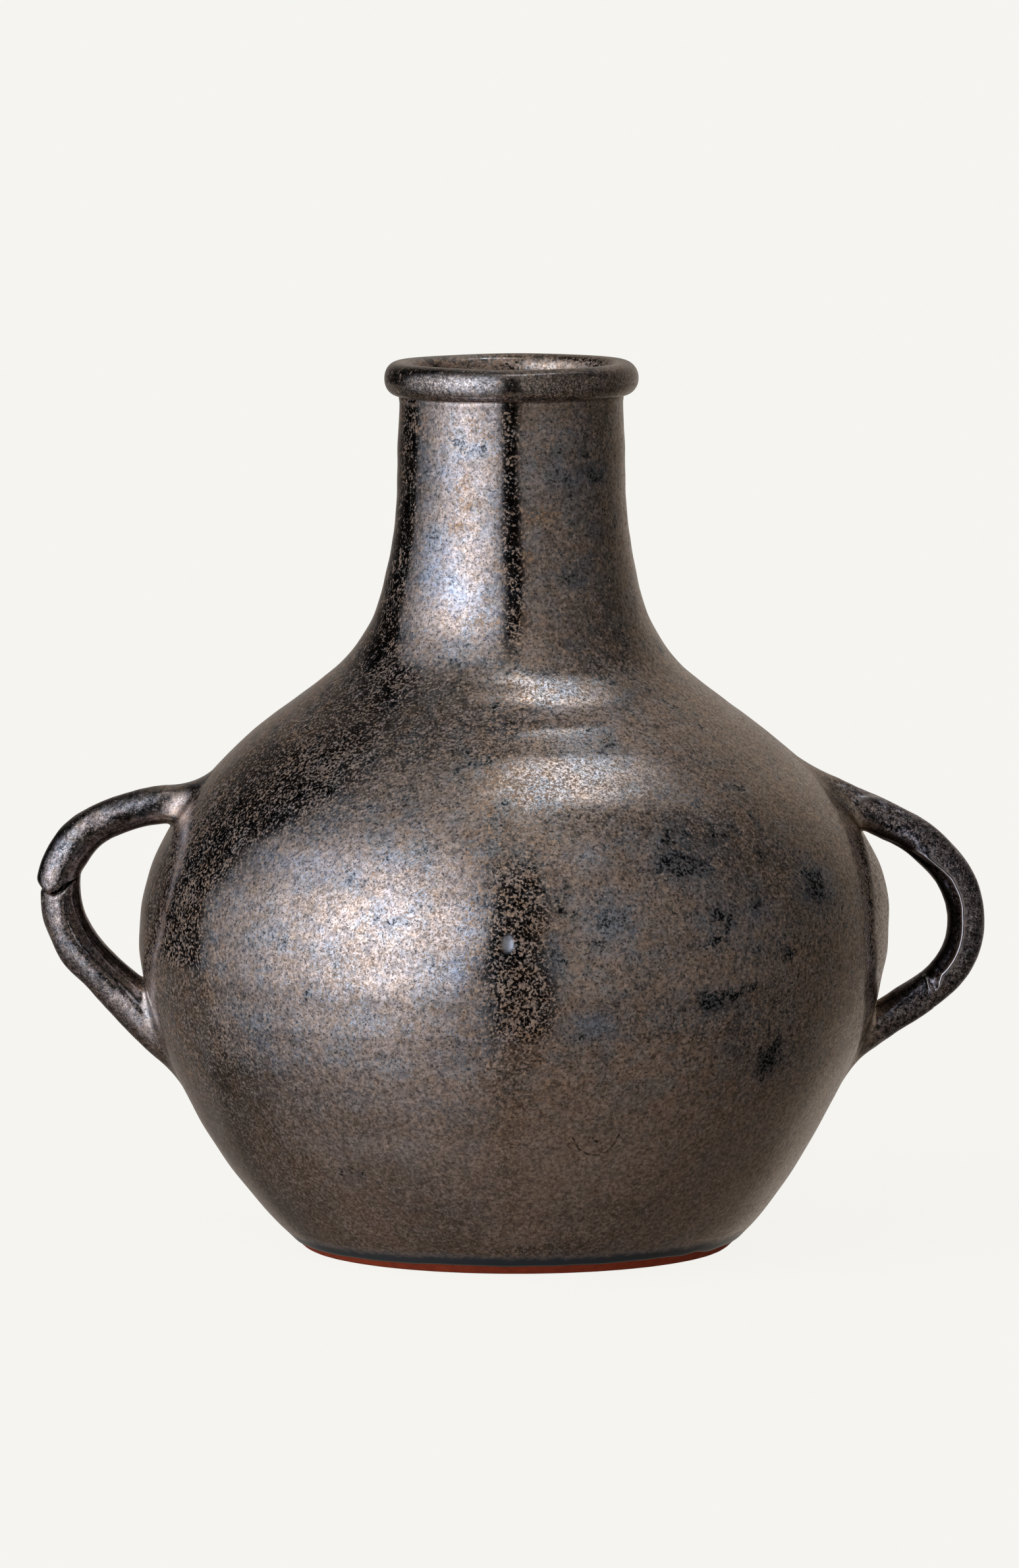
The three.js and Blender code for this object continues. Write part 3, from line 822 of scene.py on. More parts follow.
def glaze_parts(g, p, bare_field, thin, bead, shade, haze, gold, handle):
    """Colour, metal, roughness and height of the crystalline glaze. p is in millimetres.
    bare_field is high where crystals did not grow, thin where the glaze ran thin and dark (below zero where crystals
    crowd), bead in the smooth dimple, shade where painted shade darkens the inner side of a coil, haze where the glaze
    is blue and gold where the crystals are golden. The handles are darker and finer than the body."""
    # slow drifts of the glaze: where it is rich in crystals, where it is blue, where it is rusty
    rich = g.noise(p, 0.050, 3.0, 0.55, 0.4)
    blue = g.noise(g.vec("ADD", p, (37.0, 11.0, 5.0)), 0.105, 4.0, 0.62, 0.3)
    rust = g.noise(g.vec("ADD", p, (-19.0, 53.0, 23.0)), 0.19, 4.0, 0.65, 0.5)
    cloud = g.noise(g.vec("ADD", p, (61.0, -7.0, 41.0)), 0.36, 3.0, 0.62, 0.3)
    # the lower bowl is plainer than the rest, and the neck has its crystals in clumps
    split = g.new("ShaderNodeSeparateXYZ")
    g.put(split.inputs[0], p)
    lively = g.step(split.outputs[2], 28.0, 72.0, 0.35, 1.0)
    neck = g.step(split.outputs[2], 158.0, 182.0)
    # bare places, ragged at the edge
    ragged = g.noise(g.vec("ADD", p, (3.0, 29.0, -17.0)), 0.33, 4.0, 0.70, 0.4)
    natural = g.math("MULTIPLY", g.step(blue, 0.53, 0.70, 0.0, 0.62), g.step(split.outputs[2], 76.0, 94.0))
    bare = g.math("ADD", g.math("MAXIMUM", bare_field, natural), g.math("MULTIPLY", g.math("SUBTRACT", ragged, 0.5), 2.4))
    bare = g.step(bare, 0.30, 0.85)
    # crystals: soft curling flecks about a millimetre long, in clumps
    fine = 1.35 if handle else 1.0
    a = g.noise(p, 0.82 * fine, 1.0, 0.5, 0.6)
    ridge = g.math("ABSOLUTE", g.math("SUBTRACT", a, 0.5))
    b = g.noise(g.vec("ADD", p, (7.3, -4.1, 2.2)), 1.30 * fine, 1.0, 0.5, 0.4)
    field = g.math("SUBTRACT", b, g.math("MULTIPLY", ridge, 0.8))
    clumps = g.math("MULTIPLY", g.step(cloud, 0.30, 0.70, 0.05, -0.045), g.mix(neck, 1.0, 2.5))
    dens = g.math("ADD", g.step(rich, 0.32, 0.68, 0.04, -0.04), g.math("ADD", clumps, g.math("MULTIPLY", neck, 0.065)))
    dens = g.math("ADD", dens, g.math("ADD", g.math("MULTIPLY", bare, 0.16), g.math("MULTIPLY", bead, 0.4)))
    dens = g.math("ADD", dens, g.math("ADD", g.math("MULTIPLY", thin, 0.05), 0.045 if handle else 0.0))
    dens = g.math("ADD", dens, g.math("MULTIPLY", haze, 0.13))
    dens = g.math("SUBTRACT", dens, g.math("MULTIPLY", gold, 0.08))
    turn = g.math("MULTIPLY", g.math("ARCTAN2", split.outputs[0], g.math("MULTIPLY", split.outputs[1], -1.0)), 180 / math.pi)
    crowded = g.math("MULTIPLY", g.math("MULTIPLY", g.step(turn, -9.0, -5.0), g.step(turn, 8.0, 4.0)), g.step(neck, 1.0, 0.0, 0.0, 0.016))
    dens = g.math("SUBTRACT", dens, crowded)
    worn = g.attribute("worn_edge") if handle else 0.0
    root = g.attribute("near_root") if handle else 0.0
    if handle:
        # fewer crystals where painted shade lies on a coil's inner side, and along the drawn ridges
        dens = g.math("ADD", dens, g.math("ADD", g.math("MULTIPLY", shade, 0.20), g.math("MULTIPLY", worn, 0.3)))
    level = g.math("ADD", 0.392, dens)
    crystal = g.step(field, level, g.math("ADD", level, 0.225))
    crystal = g.math("MULTIPLY", crystal, g.step(split.outputs[2], 30.0, 82.0, 0.5, 1.0))
    grain = g.noise(p, 1.7 * fine, 2.0, 0.55)
    tone = g.noise(g.vec("ADD", p, (15.0, 3.0, -9.0)), 0.62, 3.0, 0.65, 0.3)
    tan = g.colour(g.step(rust, 0.42, 0.62), (0.645, 0.49, 0.380), (0.605, 0.395, 0.262))
    tan = g.colour(g.step(tone, 0.58, 0.36, 0.0, 0.62), tan, (0.325, 0.25, 0.20))
    # painted reflection: away from a narrow sector at the front and from the far left, where dark surroundings are
    # reflected, the crystals are painted greyer and paler, standing in for the light reflected over them
    sheen_greyed = g.math("ADD", g.step(turn, 5.0, 9.0), g.math("MULTIPLY", g.step(turn, -6.0, -9.0), g.step(turn, -58.0, -46.0)))
    tan = g.colour(g.math("MULTIPLY", sheen_greyed, g.step(gold, 0.6, 0.15, 0.0, 0.68)), tan, (0.495, 0.404, 0.352))
    tan = g.colour(g.step(thin, -0.5, -2.0, 0.0, 0.8), tan, (0.66, 0.50, 0.40))
    tan = g.colour(g.math("MULTIPLY", gold, 0.85), tan, (0.56, 0.365, 0.215))
    if handle:
        tan = g.colour(g.step(root, 0.0, 1.0, 0.75, 0.15), tan, (0.40, 0.365, 0.37))
    tan = g.colour(g.step(grain, 0.62, 0.36, 0.0, 0.55), tan, (0.235, 0.175, 0.135))
    metal = g.colour(g.math("MULTIPLY", g.step(blue, 0.45, 0.60), lively), (0.582, 0.494, 0.452), (0.465, 0.472, 0.500))
    metal = g.colour(g.math("MULTIPLY", g.step(rust, 0.51, 0.66, 0.0, 0.65), lively), metal, (0.53, 0.400, 0.305))
    metal = g.colour(g.math("MULTIPLY", g.step(cloud, 0.53, 0.33, 0.0, 0.70), lively), metal, (0.235, 0.222, 0.225))
    # painted reflection: from about 36 to 62 degrees right of the front and onwards the metal is painted warmer brown,
    # standing in for the warm light reflected on that side
    metal = g.colour(g.step(turn, 36.0, 62.0, 0.0, 0.55), metal, (0.50, 0.42, 0.325))
    patchy = g.math("MULTIPLY", haze, g.step(ragged, 0.36, 0.60, 0.55, 1.0))
    metal = g.colour(patchy, metal, (0.435, 0.530, 0.690))
    metal = g.colour(g.math("MULTIPLY", bare, 0.8), metal, (0.26, 0.295, 0.335))
    # pepper of dark pits everywhere, and larger ones crowded in the bare places
    pit = g.step(g.math("ADD", grain, g.math("MULTIPLY", g.math("SUBTRACT", b, 0.5), 0.8)), 0.42, 0.31)
    metal = g.colour(g.math("MULTIPLY", pit, g.math("MULTIPLY", lively, 0.75)), metal, (0.045, 0.042, 0.043))
    crowd = g.math("MULTIPLY", bare, g.step(b, 0.56, 0.44))
    metal = g.colour(crowd, metal, (0.016, 0.018, 0.022))
    outline = g.math("MULTIPLY", g.step(field, g.math("SUBTRACT", level, 0.05), g.math("ADD", level, 0.02)), gold)
    metal = g.colour(g.math("MULTIPLY", outline, 0.6), metal, (0.06, 0.05, 0.045))
    # over the lip the glaze is dark between bright grains
    metal = g.colour(g.math("MULTIPLY", neck, 0.22), metal, (0.20, 0.185, 0.185))
    salt = g.noise(g.vec("ADD", p, (1.7, 8.8, 3.1)), 2.3 if handle else 1.9, 2.0, 0.6, 0.2)
    speckle = g.math("MULTIPLY", g.step(salt, 0.42, 0.64), g.step(split.outputs[2], 249.2, 246.2, 0.35, 1.0))
    lip = g.colour(speckle, (0.105, 0.092, 0.086), (0.66, 0.595, 0.56))
    metal = g.colour(g.math("MULTIPLY", thin, 0.9), metal, lip)
    metal = g.colour(g.math("MULTIPLY", bead, 0.9), metal, (0.62, 0.66, 0.74))
    if handle:
        smeared = metal
        # painted shade: the right handle, on the side away from the main light, is darkened more than the left, turned
        # dark blue-grey and given heavier dark specks
        right = g.step(split.outputs[0], -20.0, 20.0)
        metal = g.colour(g.mix(right, 0.18, 0.40), metal, (0.075, 0.070, 0.082))
        metal = g.colour(g.math("MULTIPLY", right, 0.75), metal, (0.235, 0.24, 0.315))
        metal = g.colour(g.math("MULTIPLY", g.step(tone, 0.52, 0.40), g.mix(right, 0.42, 0.80)), metal, (0.020, 0.019, 0.023))
        metal = g.colour(g.math("MULTIPLY", g.step(salt, 0.50, 0.38), g.mix(right, 0.50, 0.85)), metal, (0.012, 0.011, 0.013))
        metal = g.colour(g.math("MULTIPLY", g.step(salt, 0.55, 0.68), g.mix(right, 0.48, 0.85)), metal, (0.68, 0.66, 0.70))
        # painted shade: near black glaze over the inner side of each coil
        metal = g.colour(g.math("MULTIPLY", shade, 0.85), metal, (0.022, 0.019, 0.021))
        metal = g.colour(g.step(root, 0.02, 0.55, 0.0, 0.95), metal, smeared)
        metal = g.colour(g.math("MULTIPLY", worn, 0.92), metal, (0.62, 0.60, 0.62))
    # one scratch low on the front
    scratch = stroke(g, p, [(17.2, 42.4), (18.6, 39.2), (21.0, 37.4), (24.0, 36.9), (27.0, 38.2), (28.8, 40.4), (30.0, 43.0)], 0.42)
    scratch = g.math("MULTIPLY", scratch, g.step(ragged, 0.42, 0.58, 0.0, 0.85))
    rough = g.mix(bead, g.step(cloud, 0.25, 0.75, 0.17, 0.27) if handle else g.step(cloud, 0.25, 0.75, 0.085, 0.14), 0.34)
    rough = g.mix(g.step(thin, 0.2, 0.9, 0.0, 0.55), rough, 0.27)
    if handle:
        rough = g.mix(worn, rough, 0.15)
    # light and dark mottling over everything
    mottle = g.noise(g.vec("ADD", p, (-5.0, 21.0, 13.0)), 0.85, 3.0, 0.65, 0.2)
    if handle:
        mottle = g.mix(right, g.step(mottle, 0.30, 0.70, 0.50, 1.50), g.step(mottle, 0.32, 0.68, 0.25, 1.70))
        mottle = g.mix(g.math("MAXIMUM", worn, g.step(root, 0.05, 0.75, 0.0, 0.7)), mottle, 1.0)
    else:
        mottle = g.step(mottle, 0.30, 0.70, 0.60, 1.40)
    flecked = g.vec("SCALE", g.colour(crystal, metal, tan), scale=mottle)
    tint = g.noise(g.vec("ADD", p, (71.0, 17.0, -31.0)), 0.30, 4.0, 0.62, 0.4)
    tint = g.colour(g.step(tint, 0.36, 0.64), (0.91, 0.985, 1.15), (1.075, 0.980, 0.88))
    tint = g.colour(g.math("MULTIPLY", lively, 0.36), (1.0, 1.0, 1.0), tint)
    flecked = g.vec("MULTIPLY", flecked, tint)
    return {
        "colour": g.colour(scratch, flecked, (0.025, 0.023, 0.022)),
        "metallic": g.mix(crystal, 1.0, 0.55),
        "rough": g.mix(crystal, rough, 0.42),
        "height": g.math("ADD", g.math("MULTIPLY", crystal, 0.6), g.math("MULTIPLY", grain, 0.25)),
        "crystal": crystal,
        "grain": grain,
    }


def material(name):
    m = bpy.data.materials.new(name)
    m.use_nodes = True
    g = Nodes(m.node_tree)
    out = g.new("ShaderNodeOutputMaterial")
    shader = g.new("ShaderNodeBsdfPrincipled")
    g.tree.links.new(shader.outputs[0], out.inputs[0])
    where = g.new("ShaderNodeTexCoord").outputs["Object"]
    p = g.vec("SCALE", where, scale=1000.0)
    return m, g, shader, p


def relief(g, shader, height, strength, distance):
    b = g.new("ShaderNodeBump")
    b.inputs["Strength"].default_value = strength
    b.inputs["Distance"].default_value = distance
    g.put(b.inputs["Height"], height)
    g.put(shader.inputs["Normal"], b.outputs[0])


def glaze_material(name, handle, bump):
    m, g, shader, p = material(name)
    parts = glaze_parts(g, p, g.attribute("bare_spot"), g.attribute("thin_glaze"), g.attribute("smooth_bead"), g.attribute("painted_shade_side"), g.attribute("blue_haze"), g.attribute("gold_patch"), handle)
    g.put(shader.inputs["Base Color"], parts["colour"])
    g.put(shader.inputs["Metallic"], parts["metallic"])
    g.put(shader.inputs["Roughness"], parts["rough"])
    shader.inputs["IOR"].default_value = 1.45
    relief(g, shader, parts["height"], bump, 0.00004)
    return m


BODY_GLAZE = glaze_material("crystal_glaze_body", False, 0.30)
HANDLE_GLAZE = glaze_material("crystal_glaze_handles", True, 0.60)

# foot: bare red clay below the line, dark thick glaze just above it, the crystal glaze over that
m, g, shader, p = material("foot_clay_and_glaze")
parts = glaze_parts(g, p, 0.0, 0.0, 0.0, 0.0, 0.0, 0.0, False)
line = g.attribute("above_line")
clay_n = g.noise(p, 0.35, 4.0, 0.6, 0.2)
speck = g.noise(p, 1.7, 3.0, 0.65)
clay = g.colour(g.step(clay_n, 0.35, 0.68), (0.40, 0.060, 0.020), (0.30, 0.042, 0.015))
clay = g.colour(g.step(speck, 0.58, 0.72, 0.0, 0.7), clay, (0.50, 0.105, 0.042))
clay = g.colour(g.step(speck, 0.40, 0.28, 0.0, 0.65), clay, (0.10, 0.020, 0.010))
thick = g.step(g.math("ADD", line, g.math("MULTIPLY", g.math("SUBTRACT", clay_n, 0.5), 2.6)), 1.6, 4.4)
# painted highlight: a paler grey-green line along the rolled edge of the glaze, just above the bare clay
edge = g.math("MULTIPLY", g.step(line, 0.0, 0.12), g.step(line, 0.42, 0.18))
dark = g.colour(edge, (0.055, 0.068, 0.080), (0.20, 0.21, 0.18))
glaze = g.colour(thick, dark, parts["colour"])
bare = g.step(line, 0.05, -0.05)
g.put(shader.inputs["Base Color"], g.colour(bare, glaze, clay))
g.put(shader.inputs["Metallic"], g.mix(bare, g.mix(thick, 0.35, parts["metallic"]), 0.0))
g.put(shader.inputs["Roughness"], g.mix(bare, g.mix(thick, 0.22, parts["rough"]), g.step(speck, 0.2, 0.8, 0.78, 0.95)))
g.put(shader.inputs["Specular IOR Level"], 0.3)
relief(g, shader, g.mix(bare, g.math("MULTIPLY", parts["height"], thick), g.math("ADD", speck, clay_n)), 0.5, 0.00012)
FOOT = m

# ---------------------------------------------------------------- marks on the glaze

# Dark spots where the crystals did not grow: angle from the front in degrees (right is positive), height, half width, half height, strength.
SPOTS = [
    (28.2, 117.9, 11.5, 5.4, 0.82), (54.7, 108.7, 5.5, 6.2, 1.15), (14.1, 103.9, 7.0, 6.0, 0.55), (33.3, 103.3, 5.0, 4.0, 0.92), (31.2, 80.1, 6.0, 4.0, 0.95),
    (34.7, 81.8, 6.0, 2.2, 0.85), (38.0, 83.4, 4.0, 2.0, 0.7), (45.5, 61.8, 4.6, 6.6, 1.15), (15.1, 40.6, 3.5, 3.0, 0.5), (-32.7, 81.9, 1.8, 1.8, 0.9),
    (150.0, 95.0, 8.0, 6.0, 0.9), (-120.0, 110.0, 7.0, 6.0, 0.9), (190.0, 70.0, 6.0, 6.0, 0.9), (-95.0, 52.0, 6.0, 5.0, 0.7), (120.0, 128.0, 5.0, 5.0, 0.8),
    (-160.0, 130.0, 6.0, 5.0, 0.7), (19.6, 88.0, 3.0, 3.0, 0.6), (45.8, 92.0, 4.5, 3.0, 0.78), (31.6, 96.9, 6.0, 1.6, 0.78), (46.6, 130.8, 4.0, 4.0, 0.5),
    (25.1, 220.3, 8.0, 3.6, 0.62), (46.3, 219.7, 4.0, 3.0, 0.85), (-33.4, 221.4, 2.5, 2.2, 0.55), (41.0, 231.0, 3.0, 4.0, 0.5),
    (44.2, 118.0, 4.0, 3.0, 0.66), (40.5, 106.0, 4.0, 3.4, 0.76), (25.9, 104.8, 3.0, 2.6, 0.68), (13.0, 109.5, 2.2, 2.2, 0.7), (12.6, 98.0, 4.0, 1.8, 0.7),
    (-31.4, 30.0, 8.0, 3.0, 0.45), (10.0, 71.5, 2.5, 2.0, 0.6),
]
# Patches where the glaze is blue, in the same terms.
HAZE = [
    (14.4, 103.3, 8.0, 8.0, 1.0), (40.3, 104.6, 7.0, 5.0, 0.7), (12.7, 74.6, 8.0, 6.0, 1.0), (6.2, 92.7, 4.0, 8.0, 0.6), (11.5, 120.5, 7.0, 4.0, 0.6),
    (28.1, 118.0, 12.0, 7.0, 0.75), (33.5, 102.6, 8.0, 6.0, 0.6), (54.4, 109.1, 9.0, 7.0, 0.8), (-8.1, 89.9, 4.0, 6.0, 0.5), (-7.0, 102.2, 3.5, 4.0, 0.45),
    (45.4, 62.2, 6.0, 6.0, 0.5), (31.6, 78.7, 6.0, 5.0, 0.5), (25.1, 220.3, 9.0, 5.0, 0.8), (46.3, 219.7, 5.0, 4.0, 0.9), (29.1, 230.7, 7.0, 4.0, 0.6),
    (46.2, 204.4, 4.0, 4.0, 0.5), (33.4, 193.0, 6.0, 4.0, 0.5), (-26.0, 186.9, 6.0, 4.0, 0.7), (-38.6, 194.6, 6.0, 9.0, 0.8), (-33.4, 221.4, 4.0, 4.0, 0.6),
    (9.6, 223.6, 3.0, 5.0, 0.5), (-35.0, 117.0, 22.0, 4.0, 0.35), (140.0, 105.0, 9.0, 7.0, 0.8), (-130.0, 85.0, 8.0, 7.0, 0.7), (175.0, 120.0, 10.0, 6.0, 0.7),
    (100.0, 75.0, 8.0, 6.0, 0.6), (170.0, 215.0, 8.0, 5.0, 0.8), (-110.0, 200.0, 6.0, 6.0, 0.6),
]
# Clusters of golden crystals, in the same terms.
GOLD = [
    (-17.9, 235.0, 4.2, 3.4, 1.0), (-8.9, 231.0, 2.0, 2.0, 0.9), (-1.6, 236.6, 2.4, 2.0, 0.9), (-25.4, 217.7, 2.6, 2.2, 1.0), (-22.2, 212.1, 3.4, 2.0, 1.0),
    (-25.4, 206.1, 3.4, 1.6, 1.0), (0.0, 227.7, 2.4, 2.4, 0.9), (14.7, 226.9, 2.6, 2.2, 0.9), (15.7, 209.2, 5.2, 2.8, 1.0), (6.8, 197.8, 3.0, 2.4, 0.8),
    (-13.7, 180.3, 4.2, 2.4, 1.0), (-1.5, 189.9, 2.4, 2.4, 0.9), (95.0, 214.0, 4.0, 3.0, 0.9), (-100.0, 226.0, 4.0, 3.0, 0.9), (160.0, 200.0, 5.0, 3.0, 0.9),
    (-150.0, 186.0, 4.0, 3.0, 0.8),
]


def paint(obj):
    co = np.empty(len(obj.data.vertices) * 3, np.float32)
    obj.data.vertices.foreach_get("co", co)
    co = co.reshape(-1, 3).astype(float) / MM
    th = np.arctan2(co[:, 1], co[:, 0] - np.interp(co[:, 2], ZT, DT))
    rough_edge = 0.35 * np.sin(co[:, 0] * 0.9) + 0.35 * np.sin(co[:, 2] * 1.1 + 1.0) + 0.3 * np.sin(co[:, 1] * 0.7 + co[:, 2] * 0.6)
    for name, marks in (("bare_spot", SPOTS), ("blue_haze", HAZE), ("gold_patch", GOLD)):
        value = np.zeros(len(co))
        for deg, z, wide, tall, strength in marks:
            d = np.angle(np.exp(1j * (th - (FRONT + math.radians(deg)))))
            dist = np.hypot(d * np.hypot(co[:, 0], co[:, 1]) / wide, (co[:, 2] - z) / tall)
            value = np.maximum(value, strength * np.exp(-((dist * (1 + 0.22 * rough_edge)) ** 2)))
        a = obj.data.attributes.new(name, "FLOAT", "POINT")
        a.data.foreach_set("value", value.astype(np.float32))
    # the glaze drew thin over the rolled lip
    thin = np.clip((co[:, 2] - 239.6) / 1.6, 0, 1) * (0.78 + 0.22 * np.sin(5 * th + 1.0))
    inside = np.clip((30.6 - np.hypot(co[:, 0], co[:, 1])) / 2.5, 0, 1) * np.clip((co[:, 2] - 225.0) / 10.0, 0, 1)
    thin = thin * (1 - inside) - 3.0 * inside
    a = obj.data.attributes.new("thin_glaze", "FLOAT", "POINT")
    a.data.foreach_set("value", (thin if "handle" not in obj.name else 0 * thin).astype(np.float32))
    a = obj.data.attributes.new("smooth_bead", "FLOAT", "POINT")
    outer = np.hypot(co[:, 0], co[:, 1]) > 102.0
    a.data.foreach_set("value", np.where(outer, np.exp(-(dimple_at(co[:, 2], th) ** 6)), 0.0).astype(np.float32))


SLOTS = {"base_disc": ("bare_clay", FOOT)}
for node, piece in PIECES.items():
    slot, mat = SLOTS.get(node, ("handle_glaze", HANDLE_GLAZE) if "handle" in node else ("body_glaze", BODY_GLAZE))
    if node == "base_disc":
        co = np.empty(len(piece.data.vertices) * 3, np.float32)
        piece.data.vertices.foreach_get("co", co)
        co = co.reshape(-1, 3).astype(float) / MM
        above = co[:, 2] - glaze_line(np.arctan2(co[:, 1], co[:, 0] - CXB))
        inside = np.hypot(co[:, 0] - CXB, co[:, 1]) < 59.9
        above = np.where(inside & (co[:, 2] > 5), 5.0, above)
        a = piece.data.attributes.new("above_line", "FLOAT", "POINT")
        a.data.foreach_set("value", above.astype(np.float32))
    else:
        paint(piece)
    piece.data.materials.append(mat)
    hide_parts(node)
    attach(piece, "root")

# ---------------------------------------------------------------- floor, light and camera

n = 96
floor_mesh = bpy.data.meshes.new("floor")
ring = [(9.0 * math.cos(2 * math.pi * i / n), 9.0 * math.sin(2 * math.pi * i / n), -0.0001) for i in range(n)]
floor_mesh.from_pydata(ring, [], [tuple(range(n))])
floor = bpy.data.objects.new("floor", floor_mesh)
bpy.context.scene.collection.objects.link(floor)
fm = bpy.data.materials.new("pale_floor")
fm.use_nodes = True
g = Nodes(fm.node_tree)
out = g.new("ShaderNodeOutputMaterial")
glow = g.new("ShaderNodeEmission")
glow.inputs[0].default_value = (0.983, 0.974, 0.938, 1)
matt = g.new("ShaderNodeBsdfDiffuse")
matt.inputs[0].default_value = (0.80, 0.79, 0.76, 1)
floor_mix = g.new("ShaderNodeMixShader")
floor_mix.inputs[0].default_value = 0.10
g.tree.links.new(glow.outputs[0], floor_mix.inputs[1])
g.tree.links.new(matt.outputs[0], floor_mix.inputs[2])
g.tree.links.new(floor_mix.outputs[0], out.inputs[0])
floor_mesh.materials.append(fm)
floor.visible_glossy = False
floor.visible_diffuse = False
floor.visible_shadow = False
floor.visible_transmission = False

# The studio: soft boxes laid out by direction as seen from the jug. Azimuth 0 is towards the camera and grows to the right.
world = bpy.data.worlds.new("studio")
bpy.context.scene.world = world
world.use_nodes = True
g = Nodes(world.node_tree)
out = g.new("ShaderNodeOutputWorld")
d = g.new("ShaderNodeTexCoord").outputs["Generated"]
sep = g.new("ShaderNodeSeparateXYZ")
g.put(sep.inputs[0], d)
az = g.math("MULTIPLY", g.math("ARCTAN2", sep.outputs[0], g.math("MULTIPLY", sep.outputs[1], -1.0)), 180 / math.pi)
el = g.math("MULTIPLY", g.math("ARCSINE", sep.outputs[2]), 180 / math.pi)


def curve(v, low, high, points):
    """A value read off a smooth curve through (position, height) points."""
    n = g.new("ShaderNodeMapRange")
    g.put(n.inputs[0], v)
    n.inputs[1].default_value, n.inputs[2].default_value = low, high
    r = g.new("ShaderNodeValToRGB")
    r.color_ramp.interpolation = "LINEAR"
    stops = r.color_ramp.elements
    while len(stops) < len(points):
        stops.new(0.5)
    for stop, (x, y) in zip(stops, points):
        stop.position = (x - low) / (high - low)
        stop.color = (y, y, y, 1)
    g.put(r.inputs[0], n.outputs[0])
    return r.outputs[0]


def both(x, y):
    return g.math("MULTIPLY", x, y)


def add_light(total, mask, colour):
    n = g.new("ShaderNodeVectorMath", operation="MULTIPLY_ADD")
    c = g.new("ShaderNodeCombineXYZ")
    for i in range(3):
        g.put(c.inputs[i], mask)
    g.put(n.inputs[0], c.outputs[0])
    n.inputs[1].default_value = colour
    g.put(n.inputs[2], total)
    return n.outputs[0]


# main soft box, left of the camera: bright towards the camera with a sharp near edge, fading round to the side
key = both(
    curve(az, -180, 180, [(-180, 0), (-114, 0.0), (-111, 0.085), (-107, 0.14), (-102, 0.185), (-96, 0.25), (-88, 0.355), (-80, 0.445), (-72, 0.565), (-64, 0.72), (-56, 0.89),
                          (-48, 0.97), (-40, 0.95), (-32, 0.87), (-25, 0.71), (-18, 0.57), (-14, 0.46), (-11.5, 0.30), (-9.2, 0.10), (-7.5, 0.02), (-6, 0.0), (180, 0)]),
    curve(el, -90, 90, [(-90, 0.01), (-68, 0.02), (-60, 0.045), (-52, 0.085), (-44, 0.14), (-36, 0.21), (-28, 0.41), (-20, 0.57), (-12, 0.65), (-4, 0.80),
                        (4, 0.92), (12, 0.97), (20, 1.0), (28, 0.97), (36, 0.88), (44, 0.70), (52, 0.48), (60, 0.21), (68, 0.08), (80, 0.03), (90, 0.0)]),
)
# weak fill on the right, strongest beside the dark gap in front of the camera, and the backdrop behind
fill = both(
    curve(az, -180, 180, [(-180, 0.33), (-165, 0.19), (-155, 0.09), (-145, 0.035), (-136, 0.006), (-15, 0.004), (6.5, 0.004), (8.7, 0.05), (11.3, 0.20), (15, 0.285), (25, 0.28),
                          (34, 0.225), (48, 0.19), (64, 0.143), (80, 0.105), (96, 0.078), (112, 0.083), (122, 0.127), (136, 0.195), (150, 0.305), (164, 0.355), (180, 0.33)]),
    curve(el, -90, 90, [(-90, 0.09), (-60, 0.11), (-50, 0.15), (-34, 0.38), (-22, 0.79), (0, 0.91), (30, 0.92), (47, 1.0), (55, 1.0), (62, 0.75), (75, 0.36), (90, 0.27)]),
)
# ceiling over the front, and the table below
ceiling = both(
    curve(az, -180, 180, [(-180, 0.10), (-140, 0.33), (-100, 0.60), (-50, 0.84), (-20, 0.95), (0, 1.0), (8, 0.96), (20, 0.68), (45, 0.50), (90, 0.34), (140, 0.20), (180, 0.08)]),
    curve(el, -90, 90, [(-90, 0), (51, 0.0), (56, 0.147), (61, 0.32), (67, 0.355), (74, 0.42), (79, 0.56), (83, 0.84), (90, 1.0)]),
)
table = both(
    curve(az, -180, 180, [(-180, 0.25), (-150, 0.66), (-120, 0.84), (-88, 0.73), (-60, 0.72), (-30, 0.86), (0, 1.0), (20, 0.92), (40, 0.87), (64, 0.74), (90, 0.52), (140, 0.36), (180, 0.26)]),
    curve(el, -90, 90, [(-90, 0.70), (-74, 0.74), (-62, 0.98), (-52, 1.0), (-44, 0.88), (-38, 0.68), (-34, 0.42), (-30, 0.10), (-26, 0.0), (90, 0)]),
)
# a low pale band far round on the left
band = both(
    curve(az, -180, 180, [(-180, 0), (-160, 0.3), (-146, 1.0), (-118, 1.0), (-104, 0.4), (-95, 0.0), (180, 0)]),
    curve(el, -90, 90, [(-90, 0), (-42, 0.0), (-34, 0.3), (-27, 0.45), (-23, 1.0), (-10, 1.0), (-5, 0.0), (90, 0)]),
)
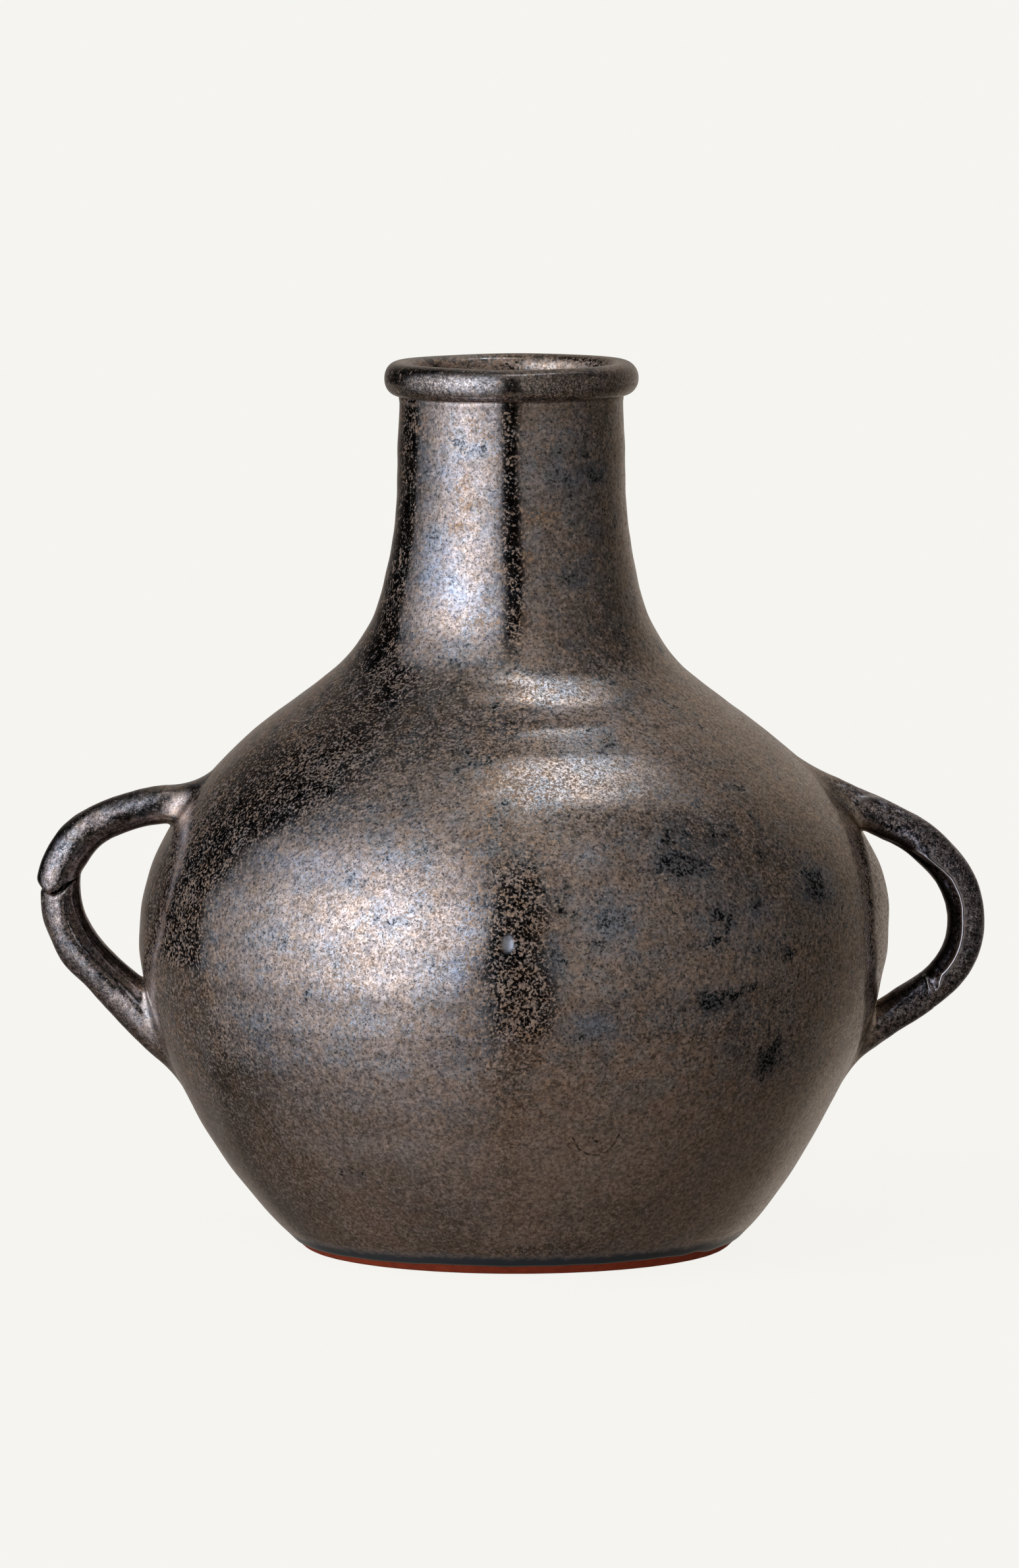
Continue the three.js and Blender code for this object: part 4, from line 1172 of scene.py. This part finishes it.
# a long lamp overhead, running from above the front away to the right and back
RUN = (0.775, -0.632)
right_of = g.math("SUBTRACT", sep.outputs[0], 0.05)
front_of = g.math("SUBTRACT", g.math("MULTIPLY", sep.outputs[1], -1.0), 0.075)
along = g.math("ADD", g.math("MULTIPLY", right_of, RUN[0]), g.math("MULTIPLY", front_of, RUN[1]))
across = g.math("ABSOLUTE", g.math("SUBTRACT", g.math("MULTIPLY", front_of, RUN[0]), g.math("MULTIPLY", right_of, RUN[1])))
overhead = both(
    curve(along, -0.2, 0.8, [(-0.2, 0), (-0.15, 0.0), (-0.08, 0.16), (-0.02, 0.55), (0.05, 0.86), (0.12, 0.96), (0.22, 1.0), (0.30, 0.80), (0.38, 0.53), (0.46, 0.31), (0.54, 0.18),
                             (0.62, 0.05), (0.70, 0.0), (0.8, 0)]),
    curve(across, 0.0, 0.3, [(0, 1.0), (0.03, 0.92), (0.05, 0.75), (0.07, 0.55), (0.09, 0.36), (0.12, 0.15), (0.16, 0.03), (0.20, 0.0), (0.3, 0)]),
)
overhead = both(overhead, g.step(sep.outputs[2], 0.3, 0.5))
total = add_light((0.0, 0.0, 0.0), key, (2.02, 2.06, 2.20))
total = add_light(total, fill, (1.10, 0.97, 0.855))
total = add_light(total, ceiling, (0.75, 0.7125, 0.66))
total = add_light(total, table, (0.156, 0.1215, 0.095))
total = add_light(total, band, (0.125, 0.108, 0.094))
total = add_light(total, overhead, (1.72, 1.79, 1.87))
studio = g.new("ShaderNodeBackground")
g.put(studio.inputs[0], total)
pale = g.new("ShaderNodeBackground")
pale.inputs[0].default_value = (0.922, 0.913, 0.880, 1)
path = g.new("ShaderNodeLightPath")
pick = g.new("ShaderNodeMixShader")
g.tree.links.new(path.outputs["Is Camera Ray"], pick.inputs[0])
g.tree.links.new(studio.outputs[0], pick.inputs[1])
g.tree.links.new(pale.outputs[0], pick.inputs[2])
g.tree.links.new(pick.outputs[0], out.inputs[0])

cam_data = bpy.data.cameras.new("camera")
cam_data.sensor_fit = "VERTICAL"
cam_data.sensor_height = 36.0
cam_data.sensor_width = 36.0
cam_data.lens = 36.0 * 19782.0 / 2380.0
cam_data.clip_end = 60.0
camera = bpy.data.objects.new("camera", cam_data)
camera.location = (-0.00028, -3.6482, 0.5257)
camera.rotation_euler = (math.radians(90 - 6.179), 0, 0)
bpy.context.scene.collection.objects.link(camera)
bpy.context.scene.camera = camera

view = bpy.context.scene.view_settings
view.view_transform = "Standard"
view.look = "None"
